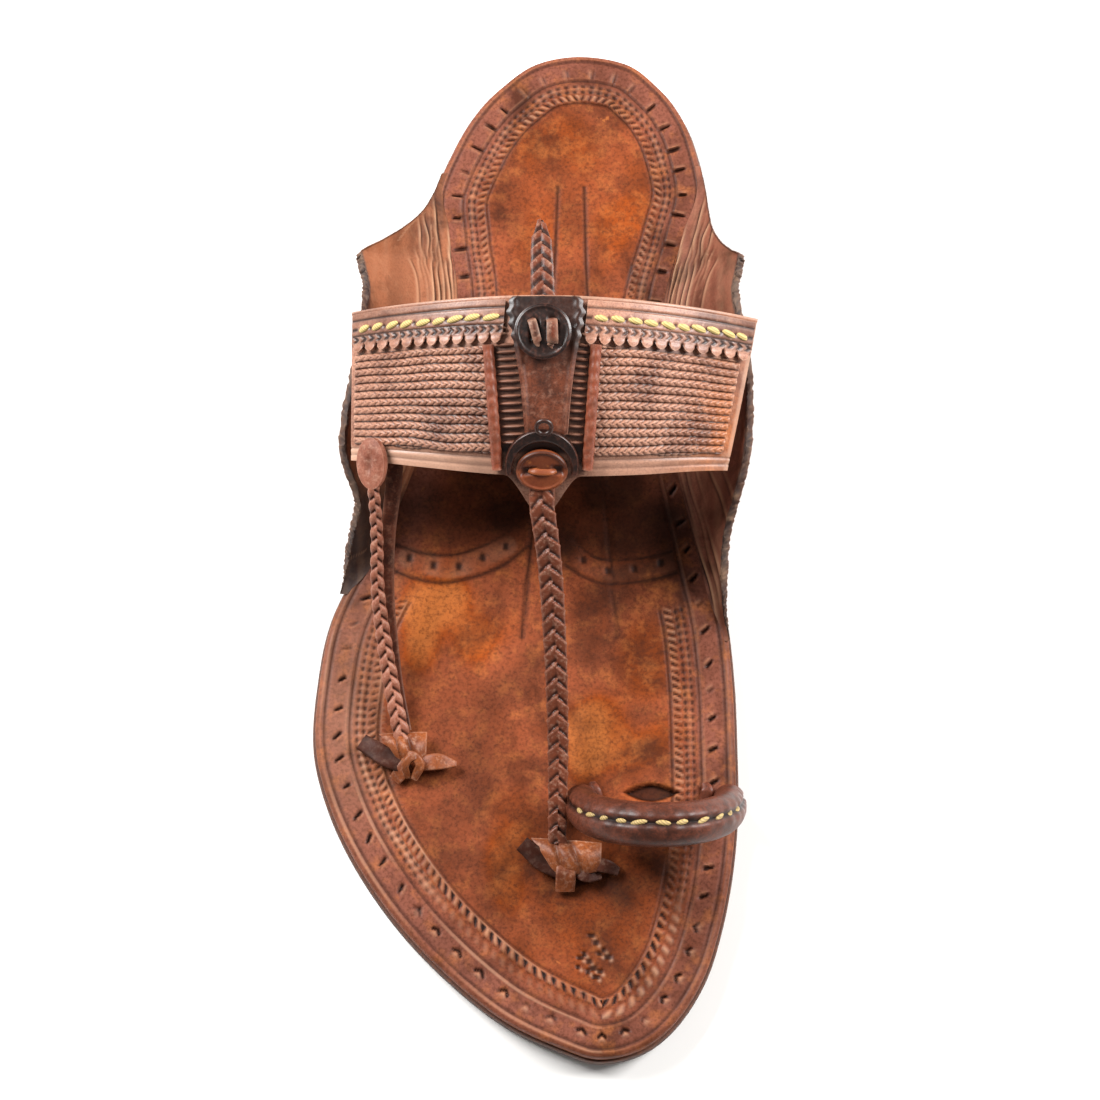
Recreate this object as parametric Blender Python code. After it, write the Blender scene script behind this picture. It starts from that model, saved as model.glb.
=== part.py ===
"""Kolhapuri chappal for the right foot: a layered leather sole, side ears and a plaited instep band.

+Z is up, the heel lies at +Y and the toe at -Y. Sizes and tables are in millimetres, and a mesh is
scaled to metres where it is made. "Along" is a distance from the back of the heel toward the toe, and
"lateral" is the little-toe side, at -X.
"""
import math

import bmesh
import bpy
import numpy as np

MM = 0.001
FIT = 0.3

# Sole
SOLE_LENGTH = 280.0
OUTSOLE_THICKNESS = 4.5
INSOLE_THICKNESS = 4.0
INSOLE_INSET = 0.8
HEEL_LIFT = 8.0
TOE_SPRING = 3.0
HEEL_BREAST_ROW = 7
WAIST_BACK, WAIST_FRONT = 78.0, 148.0
TOE_ROLL_START = 232.0
OUTLINE_STEPS = 3
OUTSOLE_ROUND = 0.7
# Rounded upper edge of the insole: inset from its side, drop below its top
INSOLE_ROUND = ((0.0, 1.4), (0.4, 0.5), (1.4, 0.0))
# Heel lift: inset from the sole's edge at its foot, above the rounding and at its top
LIFT_INSETS = (1.6, 1.0, 0.4)

# Rows from heel to toe: along, lateral x, medial x
SOLE_SECTIONS = (
    (2.5, -3.1, 20.3), (9.5, -13.9, 30.5), (17.0, -20.7, 36.2), (27.0, -26.5, 40.4),
    (42.0, -32.0, 43.0), (57.0, -31.4, 38.0), (75.0, -29.6, 33.3), (95.0, -33.4, 32.2),
    (118.0, -40.5, 35.2), (140.0, -48.6, 39.3), (160.0, -57.6, 44.0), (178.0, -62.1, 48.8),
    (196.0, -63.2, 50.1), (212.0, -59.2, 50.1), (228.0, -51.5, 48.7), (244.0, -40.3, 45.6),
    (258.0, -27.0, 41.0), (270.0, -12.0, 33.4), (277.4, 1.6, 24.0),
)
HEEL_TIP_X = 8.3
TOE_TIP_X = 13.1

# Lens-shaped slot through the insole behind the toe ring
SLOT_CENTRE = (27.0, -68.8)
SLOT_LENGTH, SLOT_WIDTH = 13.5, 5.0
SLOT_POINTS = 12

# Ears: the flange lies in a rebate of the outsole and the flap flares out to a raw rim
EAR_FLANGE = 10.0
EAR_ROOT_THICKNESS = 1.8
EAR_RIM_THICKNESS = 3.2
EAR_BEND = 0.42
EAR_STEPS = 2
EAR_RISE_STEPS = 7
EAR_FLAT_EDGE = 1.0
REBATE_MARGIN, REBATE_SIDE_MARGIN, REBATE_OVERRUN = 2.0, 0.6, 4.0
REBATE_STATIONS = 14

# Rows from heel to toe: root along, rim along, rim x, rim height
EAR_LATERAL = (
    (45.0, 45.5, -34.2, 14.6), (51.0, 51.5, -36.2, 20.0), (56.5, 58.5, -41.2, 28.4),
    (62.0, 66.5, -50.0, 38.8), (76.0, 78.0, -47.8, 41.6), (94.0, 96.0, -50.2, 39.6),
    (110.0, 112.0, -53.2, 37.8), (121.0, 123.0, -54.4, 36.4), (131.0, 132.5, -51.4, 27.5),
    (141.0, 141.8, -53.6, 18.0), (151.5, 151.6, -55.8, 9.4),
)
EAR_MEDIAL = (
    (44.0, 44.5, 43.8, 14.6), (50.5, 51.0, 43.6, 20.0), (56.5, 58.5, 44.4, 28.0),
    (63.0, 68.5, 49.6, 38.8), (79.0, 81.0, 49.4, 41.8), (96.0, 98.0, 52.0, 39.9),
    (111.0, 113.0, 51.6, 38.6), (122.0, 123.5, 50.8, 36.8), (133.0, 134.0, 48.8, 30.0),
    (145.0, 145.4, 47.0, 20.6), (156.0, 156.2, 46.4, 12.6), (165.0, 165.1, 46.6, 8.0),
)

# Instep surface that the band follows: y, crown height, end height, lateral end x, medial end x
CROWN_X = -2.0
INSTEP_SECTIONS = (
    (56.0, 66.4, 44.4, -51.2, 54.6), (50.0, 66.0, 43.4, -51.3, 53.6), (40.0, 64.6, 41.4, -51.4, 51.6),
    (28.0, 60.8, 39.0, -51.5, 49.2), (16.0, 54.9, 36.6, -51.6, 46.7), (8.0, 49.2, 35.0, -51.6, 45.1),
    (0.0, 42.4, 33.2, -51.6, 43.5), (-6.0, 36.6, 31.8, -51.6, 42.3),
)
BAND_THICKNESS = 3.0
BAND_COLUMNS = 34
PLAIT_ROWS = 12
PLAIT_RIDGE = 0.8
PLAIT_SPAN = (0.30, 0.89)
PLAIN_HALF_WIDTH = 12.0
BAND_INSIDE_DEPTHS = (0.0, 0.25, 0.5, 0.75, 0.89, 0.945, 1.0)

# Edges of the band in plan: share of the way from lateral to medial end, rear y, front y
BAND_EDGES = (
    (0.0, 53.5, 14.9), (0.2, 51.2, 10.6), (0.45, 50.2, 7.6), (0.55, 50.2, 7.4), (0.75, 50.6, 8.4),
    (1.0, 51.9, 12.4),
)
TONGUE_DEPTH = 8.6
TONGUE_HALF_WIDTH = 10.0

# Overlays on the band
COLLAR_BACK, COLLAR_FRONT = 0.03, 0.235
COLLAR_THICKNESS = 1.2
SCALLOPS = 12
SCALLOP_STEPS = 4
SCALLOP_DEPTH = 0.045
# Spans of the two collars, as shares from the lateral to the medial end of the band
COLLARS = {"collar_lateral": (0.01, 0.375), "collar_medial": (0.585, 0.99)}
EDGE_BEVEL = 0.8
# Rows from rear to front: y, half width
TAB_SECTIONS = ((49.0, 9.2), (44.0, 9.4), (38.0, 8.0), (30.0, 6.6), (18.4, 5.4))
TAB_X = -1.0
TAB_THICKNESS = 1.8
# Rows from rear to front: y, distance from the crown line
PIPING_SECTIONS = ((37.0, 13.2), (28.0, 12.6), (19.0, 12.0), (11.0, 11.4))
PIPING_WIDTH, PIPING_HEIGHT, PIPING_SIDE = 3.0, 1.6, 0.5

# Buttons: centre x and y, half width, half length, height above the band's middle surface
BUTTONS = {
    "rear_button": (-1.8, 40.4, 6.6, 6.6, 4.0),
    "front_button": (-2.1, 8.4, 6.8, 6.6, 1.8),
    "side_button": (-44.5, 13.0, 4.0, 6.6, 2.7),
}
BUTTON_THICKNESS = 2.6
BUTTON_POINTS = 20
# Profile of a button: share of its radius, share of its thickness
BUTTON_PROFILE = ((0.5, 0.0), (0.94, 0.0), (1.0, 0.2), (1.0, 0.77), (0.92, 1.0), (0.5, 1.19))
CRESCENT_INNER, CRESCENT_OUTER = 7.4, 10.8
CRESCENT_THICKNESS = 2.6
CRESCENT_ARC = (-8.0, 188.0)
CRESCENT_STATIONS = 15
CRESCENT_HORN = 0.45
LOOP_RADIUS, LOOP_WIRE = 1.9, 0.7
LOOP_OFFSET = 0.6
LOOP_TURNS, LOOP_SIDES = 12, 6

# Plaits: width, thickness, length of one chevron
TOE_PLAIT = (6.4, 3.6, 4.0)
SIDE_PLAIT = (4.2, 3.0, 3.4)
TAIL_PLAIT = (5.4, 2.8, 4.2)
PLAIT_SIDES = 8
PLAIT_NOTCH = 0.80
PLAIT_REST = 0.1
TIP_STATIONS = 4
TAIL_TIP = 0.35
# How far in front of its button a plait starts
TOE_STARTS = (0.7, 4.5)
SIDE_START = 0.6
# Free runs of the plaits: x, y, z
TOE_RUN = ((-0.6, -14.0, 38.4), (0.8, -33.0, 28.8), (1.7, -56.0, 18.6))
TOE_FOOT_X = 1.4
TAIL_ROOTS = ((-1.8, 43.0), (-1.8, 50.0))
TAIL_RUN = ((-2.1, 61.0, 61.8), (-2.4, 73.6, 58.8))
SIDE_RUN = ((-45.6, -4.0, 33.0), (-45.4, -19.0, 24.2), (-42.6, -38.0, 15.6))
SIDE_FOOT_X = -39.0
SIDE_STRIP_THICKNESS = 1.2
# Rows from rear to front: x, y, half width, drop below the band's underside
SIDE_STRIP = (
    (-42.0, 17.0, 2.2, 0.0), (-42.0, 12.5, 2.2, 0.0), (-42.1, 8.0, 2.1, 0.0), (-42.4, 1.0, 1.9, 1.2),
    (-42.7, -6.0, 1.6, 3.0), (-43.0, -13.0, 1.1, 5.0),
)

# Knots, rows across: distance from the middle, depth along the foot, height
KNOT_SECTIONS = (
    (-12.0, 6.0, 1.6), (-8.5, 9.0, 3.4), (-4.5, 9.6, 6.6), (0.0, 13.0, 8.4), (4.5, 10.0, 6.8),
    (8.5, 9.0, 3.6), (12.0, 6.6, 1.8),
)
KNOT_DEPTH = 13.0
KNOT_SIDES = 10
KNOT_FLATTENING = 1.15
TOE_KNOT_CENTRE = (5.6, -88.4)
SIDE_KNOT_CENTRE = (-37.2, -60.4)
SIDE_KNOT_SCALE = 0.92

# Toe ring
RING_CENTRE = (27.9, -70.8)
RING_HALF_SPAN = 19.6
RING_HEIGHT = 27.0
RING_LEAN = 24.0
RING_FULLNESS = 0.8
RING_TUBE = 4.4
RING_STATIONS, RING_SIDES = 17, 10

# Leather finishes: sRGB colour, roughness
FINISHES = {
    "sole": ("3A2116", 0.70),
    "insole": ("8E4B20", 0.45),
    "ear": ("7B4021", 0.60),
    "band": ("A8705A", 0.40),
    "trim": ("6E3524", 0.45),
    "dark": ("2C1710", 0.45),
    "plait": ("7A3E28", 0.45),
    "button": ("96492A", 0.40),
}


def curve_through(stations, values):
    """A smooth function through the values, with each slope taken from its neighbours."""
    knots = np.array(stations, float)
    heights = np.array(values, float)
    if knots[0] > knots[-1]:
        knots = knots[::-1]
        heights = heights[::-1]
    slopes = np.gradient(heights, knots)

    def at(position):
        i = int(np.clip(np.searchsorted(knots, position) - 1, 0, len(knots) - 2))
        span = knots[i + 1] - knots[i]
        t = (position - knots[i]) / span
        if t < 0.0 or t > 1.0:
            edge = i if t < 0.0 else i + 1
            return heights[edge] + slopes[edge] * (position - knots[edge])
        start = (1 + 2 * t) * (1 - t) ** 2 * heights[i] + t * (1 - t) ** 2 * span * slopes[i]
        end = t * t * (3 - 2 * t) * heights[i + 1] + t * t * (t - 1) * span * slopes[i + 1]
        return start + end

    return at


def smooth_step(t):
    t = min(1.0, max(0.0, t))
    return t * t * (3 - 2 * t)


def column(table, index):
    return [row[index] for row in table]


def y_of(along):
    return SOLE_LENGTH / 2 - along


def resample(points, count):
    """Points spaced evenly by length along a smooth curve through the given ones."""
    given = np.array(points, float)
    marks = np.arange(len(given))
    curves = [curve_through(marks, given[:, axis]) for axis in range(given.shape[1])]
    fine = np.array([[c(t) for c in curves] for t in np.linspace(0, len(given) - 1, 40 * len(given))])
    run = np.concatenate(([0.0], np.cumsum(np.linalg.norm(np.diff(fine, axis=0), axis=1))))
    goals = np.linspace(0.0, run[-1], count)
    return np.stack([np.interp(goals, run, fine[:, axis]) for axis in range(given.shape[1])], axis=1)


def srgb_to_linear(hex_colour):
    channels = [int(hex_colour[i:i + 2], 16) / 255 for i in (0, 2, 4)]
    return [c / 12.92 if c <= 0.04045 else ((c + 0.055) / 1.055) ** 2.4 for c in channels] + [1.0]


def leather(name, finish):
    """A Principled material of its own for one piece."""
    colour, roughness = FINISHES[finish]
    material = bpy.data.materials.new(name + "_leather")
    material.use_nodes = True
    shader = material.node_tree.nodes["Principled BSDF"]
    shader.inputs["Base Color"].default_value = srgb_to_linear(colour)
    shader.inputs["Roughness"].default_value = roughness
    return material


def add_piece(name, points, faces, finish=None):
    """One closed mesh object; a piece with no finish is a cutter."""
    mesh = bpy.data.meshes.new(name)
    mesh.from_pydata([[c * MM for c in p] for p in points], [], faces)
    shape = bmesh.new()
    shape.from_mesh(mesh)
    bmesh.ops.recalc_face_normals(shape, faces=shape.faces)
    shape.to_mesh(mesh)
    shape.free()
    piece = bpy.data.objects.new(name, mesh)
    bpy.context.scene.collection.objects.link(piece)
    if finish:
        mesh.materials.append(leather(name, finish))
        mesh.shade_smooth()
        mesh.set_sharp_from_angle(angle=math.radians(40))
    else:
        piece.hide_render = True
        piece.display_type = "WIRE"
    return piece


def cut(piece, cutter):
    """Take the cutter out of the piece."""
    difference = piece.modifiers.new(cutter.name, "BOOLEAN")
    difference.operation = "DIFFERENCE"
    difference.object = cutter


def loft(rings):
    """Points and faces of a closed body through rings of equal count, capped at both ends."""
    size = len(rings[0])
    points = [p for ring in rings for p in ring]
    faces = []
    for r in range(len(rings) - 1):
        for i in range(size):
            j = (i + 1) % size
            faces.append((r * size + i, r * size + j, (r + 1) * size + j, (r + 1) * size + i))
    last = (len(rings) - 1) * size
    faces.append(tuple(range(size)))
    faces.append(tuple(range(last, last + size)))
    return points, faces


def slab(low_grid, high_grid):
    """Points and faces of a closed sheet between two grids of equal rows and columns."""
    rows, columns = len(low_grid), len(low_grid[0])
    count = rows * columns
    points = [p for row in low_grid for p in row] + [p for row in high_grid for p in row]
    faces = []
    for r in range(rows - 1):
        for c in range(columns - 1):
            quad = (r * columns + c, r * columns + c + 1, (r + 1) * columns + c + 1, (r + 1) * columns + c)
            faces.append(quad)
            faces.append(tuple(i + count for i in reversed(quad)))
    edge = [c for c in range(columns)]
    edge += [r * columns + columns - 1 for r in range(1, rows)]
    edge += [(rows - 1) * columns + c for c in range(columns - 2, -1, -1)]
    edge += [r * columns for r in range(rows - 2, 0, -1)]
    for a, b in zip(edge, edge[1:] + edge[:1]):
        faces.append((a, b, b + count, a + count))
    return points, faces


# Sole

def sole_base(along):
    """Height of the outsole's underside: raised over the heel lift, flat at the ball, sprung at the toe."""
    rise = (HEEL_LIFT + FIT) * (1 - smooth_step((along - WAIST_BACK) / (WAIST_FRONT - WAIST_BACK)))
    spring = max(0.0, (along - TOE_ROLL_START) / (SOLE_LENGTH - TOE_ROLL_START))
    return rise + TOE_SPRING * spring ** 2


def outsole_top(along):
    return sole_base(along) + OUTSOLE_THICKNESS


def insole_top(along):
    return outsole_top(along) + FIT + INSOLE_THICKNESS


def sole_outline():
    """The closed outline from the heel tip down the medial side to the toe and back, as plan points."""
    medial = [(row[2], y_of(row[0])) for row in SOLE_SECTIONS]
    lateral = [(row[1], y_of(row[0])) for row in SOLE_SECTIONS]
    loop = [(HEEL_TIP_X, y_of(0.0))] + medial + [(TOE_TIP_X, y_of(SOLE_LENGTH))] + lateral[::-1]
    knots = np.array(loop)
    points = []
    for i in range(len(knots)):
        a, b, c, d = (knots[(i + k) % len(knots)] for k in (-1, 0, 1, 2))
        for step in range(OUTLINE_STEPS):
            t = step / OUTLINE_STEPS
            bend = (2 * a - 5 * b + 4 * c - d) * t ** 2 + (3 * b - a - 3 * c + d) * t ** 3
            points.append(b + 0.5 * ((c - a) * t + bend))
    return np.array(points)


OUTLINE = sole_outline()
OUTLINE_HALF = len(OUTLINE) // 2


def inset_outline(distance):
    """The sole outline moved inward."""
    ahead = np.roll(OUTLINE, -1, axis=0) - np.roll(OUTLINE, 1, axis=0)
    inward = np.stack([ahead[:, 1], -ahead[:, 0]], axis=1)
    return OUTLINE + distance * inward / np.linalg.norm(inward, axis=1)[:, None]


def edge_x(along, side):
    """Where the sole's edge is at one station: side is -1 on the lateral edge and 1 on the medial."""
    run = OUTLINE[:OUTLINE_HALF + 1] if side > 0 else np.roll(OUTLINE[::-1], 1, axis=0)[:OUTLINE_HALF + 1]
    return float(np.interp(along, y_of(0.0) - run[:, 1], run[:, 0]))


def sole_layer(name, rings, finish, last=OUTLINE_HALF):
    """A layer of the sole through rings of (inset, height function), from the heel tip to one station."""
    whole = last == OUTLINE_HALF
    count = len(OUTLINE)
    keep = list(range(count)) if whole else list(range(last + 1)) + list(range(count - last, count))
    points = []
    for inset, height in rings:
        for x, y in inset_outline(inset)[keep]:
            points.append((x, y, height(SOLE_LENGTH / 2 - y)))
    size = len(keep)
    faces = []
    for r in range(len(rings) - 1):
        for i in range(size):
            j = (i + 1) % size
            faces.append((r * size + i, r * size + j, (r + 1) * size + j, (r + 1) * size + i))
    for start in (0, (len(rings) - 1) * size):
        pairs = [(start + i, start + (size - i) % size) for i in range(size // 2 + 1)]
        for (a, b), (c, d) in zip(pairs, pairs[1:]):
            faces.append(tuple(dict.fromkeys((a, c, d, b))))
    return add_piece(name, points, faces, finish)


def build_sole():
    edge = OUTSOLE_ROUND
    outsole = sole_layer("outsole", (
        (edge, sole_base), (0.0, lambda a: sole_base(a) + edge),
        (0.0, lambda a: outsole_top(a) - edge), (edge / 2, outsole_top)), "sole")
    rings = [(INSOLE_INSET, lambda a: outsole_top(a) + FIT)]
    for inset, drop in INSOLE_ROUND:
        rings.append((INSOLE_INSET + inset, lambda a, drop=drop: insole_top(a) - drop))
    insole = sole_layer("insole", rings, "insole")
    foot, side, top = LIFT_INSETS
    sole_layer("heel_lift", (
        (foot, lambda a: 0.0), (side, lambda a: edge), (top, lambda a: HEEL_LIFT)), "sole",
        HEEL_BREAST_ROW * OUTLINE_STEPS)
    cut(insole, slot_cutter())
    for side, table in ((-1, EAR_LATERAL), (1, EAR_MEDIAL)):
        cut(outsole, rebate_cutter(side, table))


def slot_cutter():
    """A lens-shaped prism of two equal arcs."""
    half = SLOT_POINTS // 2
    plan = []
    for i in range(SLOT_POINTS):
        t = i / half
        bow = math.cos(math.pi * (t % 1.0 - 0.5)) * (1 if t < 1.0 else -1)
        along = (t if t < 1.0 else 2.0 - t) - 0.5
        plan.append((SLOT_CENTRE[0] + SLOT_LENGTH * along, SLOT_CENTRE[1] + SLOT_WIDTH / 2 * bow))
    floor = outsole_top(y_of(SLOT_CENTRE[1]))
    return add_piece("slot_cutter", *loft([[(x, y, z) for x, y in plan]
                                           for z in (floor, floor + 2 * INSOLE_THICKNESS)]))


# Ears

def ear_root_height(along):
    return outsole_top(along) - EAR_ROOT_THICKNESS / 2


def rebate_cutter(side, table):
    """The space under one ear's flange, with clearance below it and past its ends."""
    rings = []
    start, stop = table[0][0] - REBATE_MARGIN, table[-1][0] + REBATE_MARGIN
    for along in np.linspace(start, stop, REBATE_STATIONS):
        edge, root = edge_x(along, side), ear_root_height(along)
        inner, outer = edge - side * (EAR_FLANGE + REBATE_SIDE_MARGIN), edge + side * REBATE_OVERRUN
        low, high = root - EAR_ROOT_THICKNESS / 2 - FIT, root + INSOLE_THICKNESS
        y = y_of(along)
        rings.append([(inner, y, low), (outer, y, low), (outer, y, high), (inner, y, high)])
    return add_piece("rebate_cutter_" + ("medial" if side > 0 else "lateral"), *loft(rings))


def ear_section(side, root_along, rim):
    """Middle line of one ear from its flange, round the bend and up to the rim."""
    y, z = y_of(root_along), ear_root_height(root_along)
    edge = np.array((edge_x(root_along, side), y, z))
    reach = abs(rim[0] - edge[0])
    bend = edge + np.array((side * EAR_BEND * reach, 0.0, 0.0))
    line = [edge - np.array((side * inward, 0.0, 0.0)) for inward in (EAR_FLANGE, EAR_FLAT_EDGE)]
    for step in range(EAR_RISE_STEPS + 1):
        t = step / EAR_RISE_STEPS
        line.append((1 - t) ** 2 * edge + 2 * t * (1 - t) * bend + t * t * rim)
    return line


def build_ear(name, side, table):
    marks = np.arange(len(table))
    roots, rims, outs, heights = (curve_through(marks, column(table, i)) for i in range(4))
    middle = []
    for mark in np.linspace(0, len(table) - 1, EAR_STEPS * (len(table) - 1) + 1):
        rim = np.array((outs(mark), y_of(rims(mark)), heights(mark)))
        middle.append(ear_section(side, roots(mark), rim))
    middle = np.array(middle)
    across = np.gradient(middle, axis=0)
    up = np.gradient(middle, axis=1)
    normal = np.cross(across, up)
    normal /= np.linalg.norm(normal, axis=2)[:, :, None]
    rise = np.clip((np.arange(middle.shape[1]) - 2) / EAR_RISE_STEPS, 0.0, 1.0)
    half = 0.5 * (EAR_ROOT_THICKNESS + (EAR_RIM_THICKNESS - EAR_ROOT_THICKNESS) * rise)
    shift = normal * half[None, :, None]
    add_piece(name, *slab((middle - shift).tolist(), (middle + shift).tolist()), "ear")


# Instep surface and band

INSTEP_Y = column(INSTEP_SECTIONS, 0)
CROWN = curve_through(INSTEP_Y, column(INSTEP_SECTIONS, 1))
ENDS = curve_through(INSTEP_Y, column(INSTEP_SECTIONS, 2))
LATERAL_END = curve_through(INSTEP_Y, column(INSTEP_SECTIONS, 3))
MEDIAL_END = curve_through(INSTEP_Y, column(INSTEP_SECTIONS, 4))
EDGE_SHARE = column(BAND_EDGES, 0)
REAR_EDGE = curve_through(EDGE_SHARE, column(BAND_EDGES, 1))
FRONT_EDGE = curve_through(EDGE_SHARE, column(BAND_EDGES, 2))


def instep_height(x, y):
    """Height of the band's middle surface over a plan point, an arch that drops to both ends."""
    end = LATERAL_END(y) if x < CROWN_X else MEDIAL_END(y)
    share = (x - CROWN_X) / (end - CROWN_X)
    return CROWN(y) - (CROWN(y) - ENDS(y)) * share * share


def instep_frame(x, y):
    """A point of the middle surface with its unit directions across, toward the heel and outward."""
    step = 0.05
    point = np.array((x, y, instep_height(x, y)))
    across = np.array((2 * step, 0.0, instep_height(x + step, y) - instep_height(x - step, y)))
    back = np.array((0.0, 2 * step, instep_height(x, y + step) - instep_height(x, y - step)))
    out = np.cross(across, back)
    return point, across / np.linalg.norm(across), back / np.linalg.norm(back), out / np.linalg.norm(out)


def lift(x, y, height):
    """The point at a height above the middle surface over a plan point."""
    point, _, _, out = instep_frame(x, y)
    return point + height * out


def band_plan(share, depth):
    """Plan point of the band: share runs from lateral to medial end, depth from rear to front edge."""
    y = REAR_EDGE(share) + (FRONT_EDGE(share) - REAR_EDGE(share)) * depth
    x = LATERAL_END(y) + (MEDIAL_END(y) - LATERAL_END(y)) * share
    tongue = max(0.0, 1 - abs(x - CROWN_X) / TONGUE_HALF_WIDTH)
    y -= TONGUE_DEPTH * smooth_step(tongue) * smooth_step((depth - PLAIT_SPAN[1]) / (1 - PLAIT_SPAN[1]))
    return x, y


def band_depths():
    """Lines across the band, rear to front: a crest and a furrow for each plaited row."""
    first, last = PLAIT_SPAN
    pitch = (last - first) / PLAIT_ROWS
    lines = [(0.0, 0.0), (0.1, 0.0), (0.2, 0.0), (first, 0.0)]
    for row in range(PLAIT_ROWS):
        lines.append((first + (row + 0.5) * pitch, PLAIT_RIDGE))
        lines.append((first + (row + 1.0) * pitch, 0.0))
    return lines + [(0.5 * (last + 1.0), 0.0), (1.0, 0.0)]


def build_band():
    """A wall whose outside has the plaited rows raised; its plain inside has fewer lines."""
    half = BAND_THICKNESS / 2
    shares = [c / BAND_COLUMNS for c in range(BAND_COLUMNS + 1)]
    outside, inside = [], []
    for depth, ridge in band_depths():
        row = []
        for share in shares:
            x, y = band_plan(share, depth)
            plaited = 0.0 < share < 1.0 and abs(x - CROWN_X) > PLAIN_HALF_WIDTH
            row.append(lift(x, y, half + (ridge if plaited else 0.0)))
        outside.append(row)
    for depth in BAND_INSIDE_DEPTHS:
        inside.append([lift(*band_plan(share, depth), -half) for share in shares])
    width = len(shares)
    rows = outside + inside[::-1]
    points = [p for row in rows for p in row]
    faces = []
    for r in range(len(rows)):
        s = (r + 1) % len(rows)
        for c in range(width - 1):
            faces.append((r * width + c, r * width + c + 1, s * width + c + 1, s * width + c))
    for c in (0, width - 1):
        faces.append(tuple(r * width + c for r in range(len(rows))))
    add_piece("instep_band", points, faces, "band")


# Overlays

def overlay(name, plan, low, high, finish):
    """A strip that follows the instep surface, from a grid of plan points and one height for each column."""
    base = [[lift(x, y, low) for x, y in row] for row in plan]
    top = [[lift(x, y, h) for (x, y), h in zip(row, high)] for row in plan]
    add_piece(name, *slab(base, top), finish)


def build_collars():
    """Two strips along the rear edge, each with a row of scallops on its front side."""
    low = BAND_THICKNESS / 2 + FIT
    for name, (start, stop) in COLLARS.items():
        plan = []
        for i in range(SCALLOPS * SCALLOP_STEPS + 1):
            share = start + (stop - start) * i / (SCALLOPS * SCALLOP_STEPS)
            round_part = abs(math.sin(math.pi * i / SCALLOP_STEPS))
            front = COLLAR_FRONT + SCALLOP_DEPTH * round_part
            middle = 0.5 * (COLLAR_BACK + COLLAR_FRONT)
            plan.append([band_plan(share, depth) for depth in (COLLAR_BACK, middle, front)])
        overlay(name, plan, low, (low + COLLAR_THICKNESS,) * 3, "trim")


def build_tab():
    low = BAND_THICKNESS / 2 + FIT
    high = low + TAB_THICKNESS
    plan = [[(TAB_X + half * t, y) for t in (-1.0, -0.75, 0.0, 0.75, 1.0)] for y, half in TAB_SECTIONS]
    side = high - EDGE_BEVEL
    overlay("centre_tab", plan, low, (side, high, high, high, side), "trim")


def build_pipings():
    low = BAND_THICKNESS / 2 + PLAIT_RIDGE + FIT
    high = low + PIPING_HEIGHT
    for name, side in (("piping_lateral", -1), ("piping_medial", 1)):
        plan = []
        for y, away in PIPING_SECTIONS:
            x = CROWN_X + side * away
            plan.append([(x + PIPING_WIDTH * t, y) for t in (-0.5, -0.25, 0.25, 0.5)])
        overlay(name, plan, low, (low + PIPING_SIDE, high, high, low + PIPING_SIDE), "trim")


def disc_point(centre, angle, half_width, half_length):
    """Plan point at an angle round a centre, measured in the plane that touches the instep there."""
    point, across, back, _ = instep_frame(*centre)
    spot = point + half_width * math.cos(angle) * across + half_length * math.sin(angle) * back
    return spot[0], spot[1]


def build_button(name, finish):
    """A round leather disc with a soft rim and a shallow dome, following the instep."""
    x, y, half_width, half_length, low = BUTTONS[name]
    rings = []
    for size, rise in BUTTON_PROFILE:
        height = low + BUTTON_THICKNESS * rise
        ring = []
        for i in range(BUTTON_POINTS):
            angle = 2 * math.pi * i / BUTTON_POINTS
            ring.append(lift(*disc_point((x, y), angle, half_width * size, half_length * size), height))
        rings.append(ring)
    add_piece(name, *loft(rings), finish)


def build_crescent():
    """A half-moon that hugs the front button from behind, thin at its horns."""
    x, y = BUTTONS["front_button"][:2]
    low = BAND_THICKNESS / 2 + FIT
    plan = []
    for angle in np.radians(np.linspace(*CRESCENT_ARC, CRESCENT_STATIONS)):
        swell = CRESCENT_HORN + (1 - CRESCENT_HORN) * math.sin(min(max(angle, 0.0), math.pi))
        width = (CRESCENT_OUTER - CRESCENT_INNER) * swell
        radii = [CRESCENT_INNER + width * t for t in (0.0, 0.3, 0.7, 1.0)]
        plan.append([disc_point((x, y), angle, r, r) for r in radii])
    high = low + CRESCENT_THICKNESS
    overlay("crescent", plan, low, (high - EDGE_BEVEL, high, high, high - EDGE_BEVEL), "dark")


def build_loop():
    """The small loop that stands on the tab behind the half-moon."""
    x, y = TAB_X - LOOP_OFFSET, TAB_SECTIONS[-1][0] + LOOP_RADIUS
    height = BAND_THICKNESS / 2 + TAB_THICKNESS + 2 * FIT + LOOP_WIRE
    point, across, back, out = instep_frame(x, y)
    count = LOOP_TURNS * LOOP_SIDES
    points, faces = [], []
    for i in range(LOOP_TURNS):
        angle = 2 * math.pi * i / LOOP_TURNS
        ray = math.cos(angle) * across + math.sin(angle) * back
        for k in range(LOOP_SIDES):
            tube = 2 * math.pi * k / LOOP_SIDES
            away = (LOOP_RADIUS + LOOP_WIRE * math.cos(tube)) * ray
            points.append(point + away + (height + LOOP_WIRE * math.sin(tube)) * out)
            a, b = i * LOOP_SIDES + k, i * LOOP_SIDES + (k + 1) % LOOP_SIDES
            faces.append((a, b, (b + LOOP_SIDES) % count, (a + LOOP_SIDES) % count))
    add_piece("ring_loop", points, faces, "dark")


# Plaits, strip, knots and ring

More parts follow.
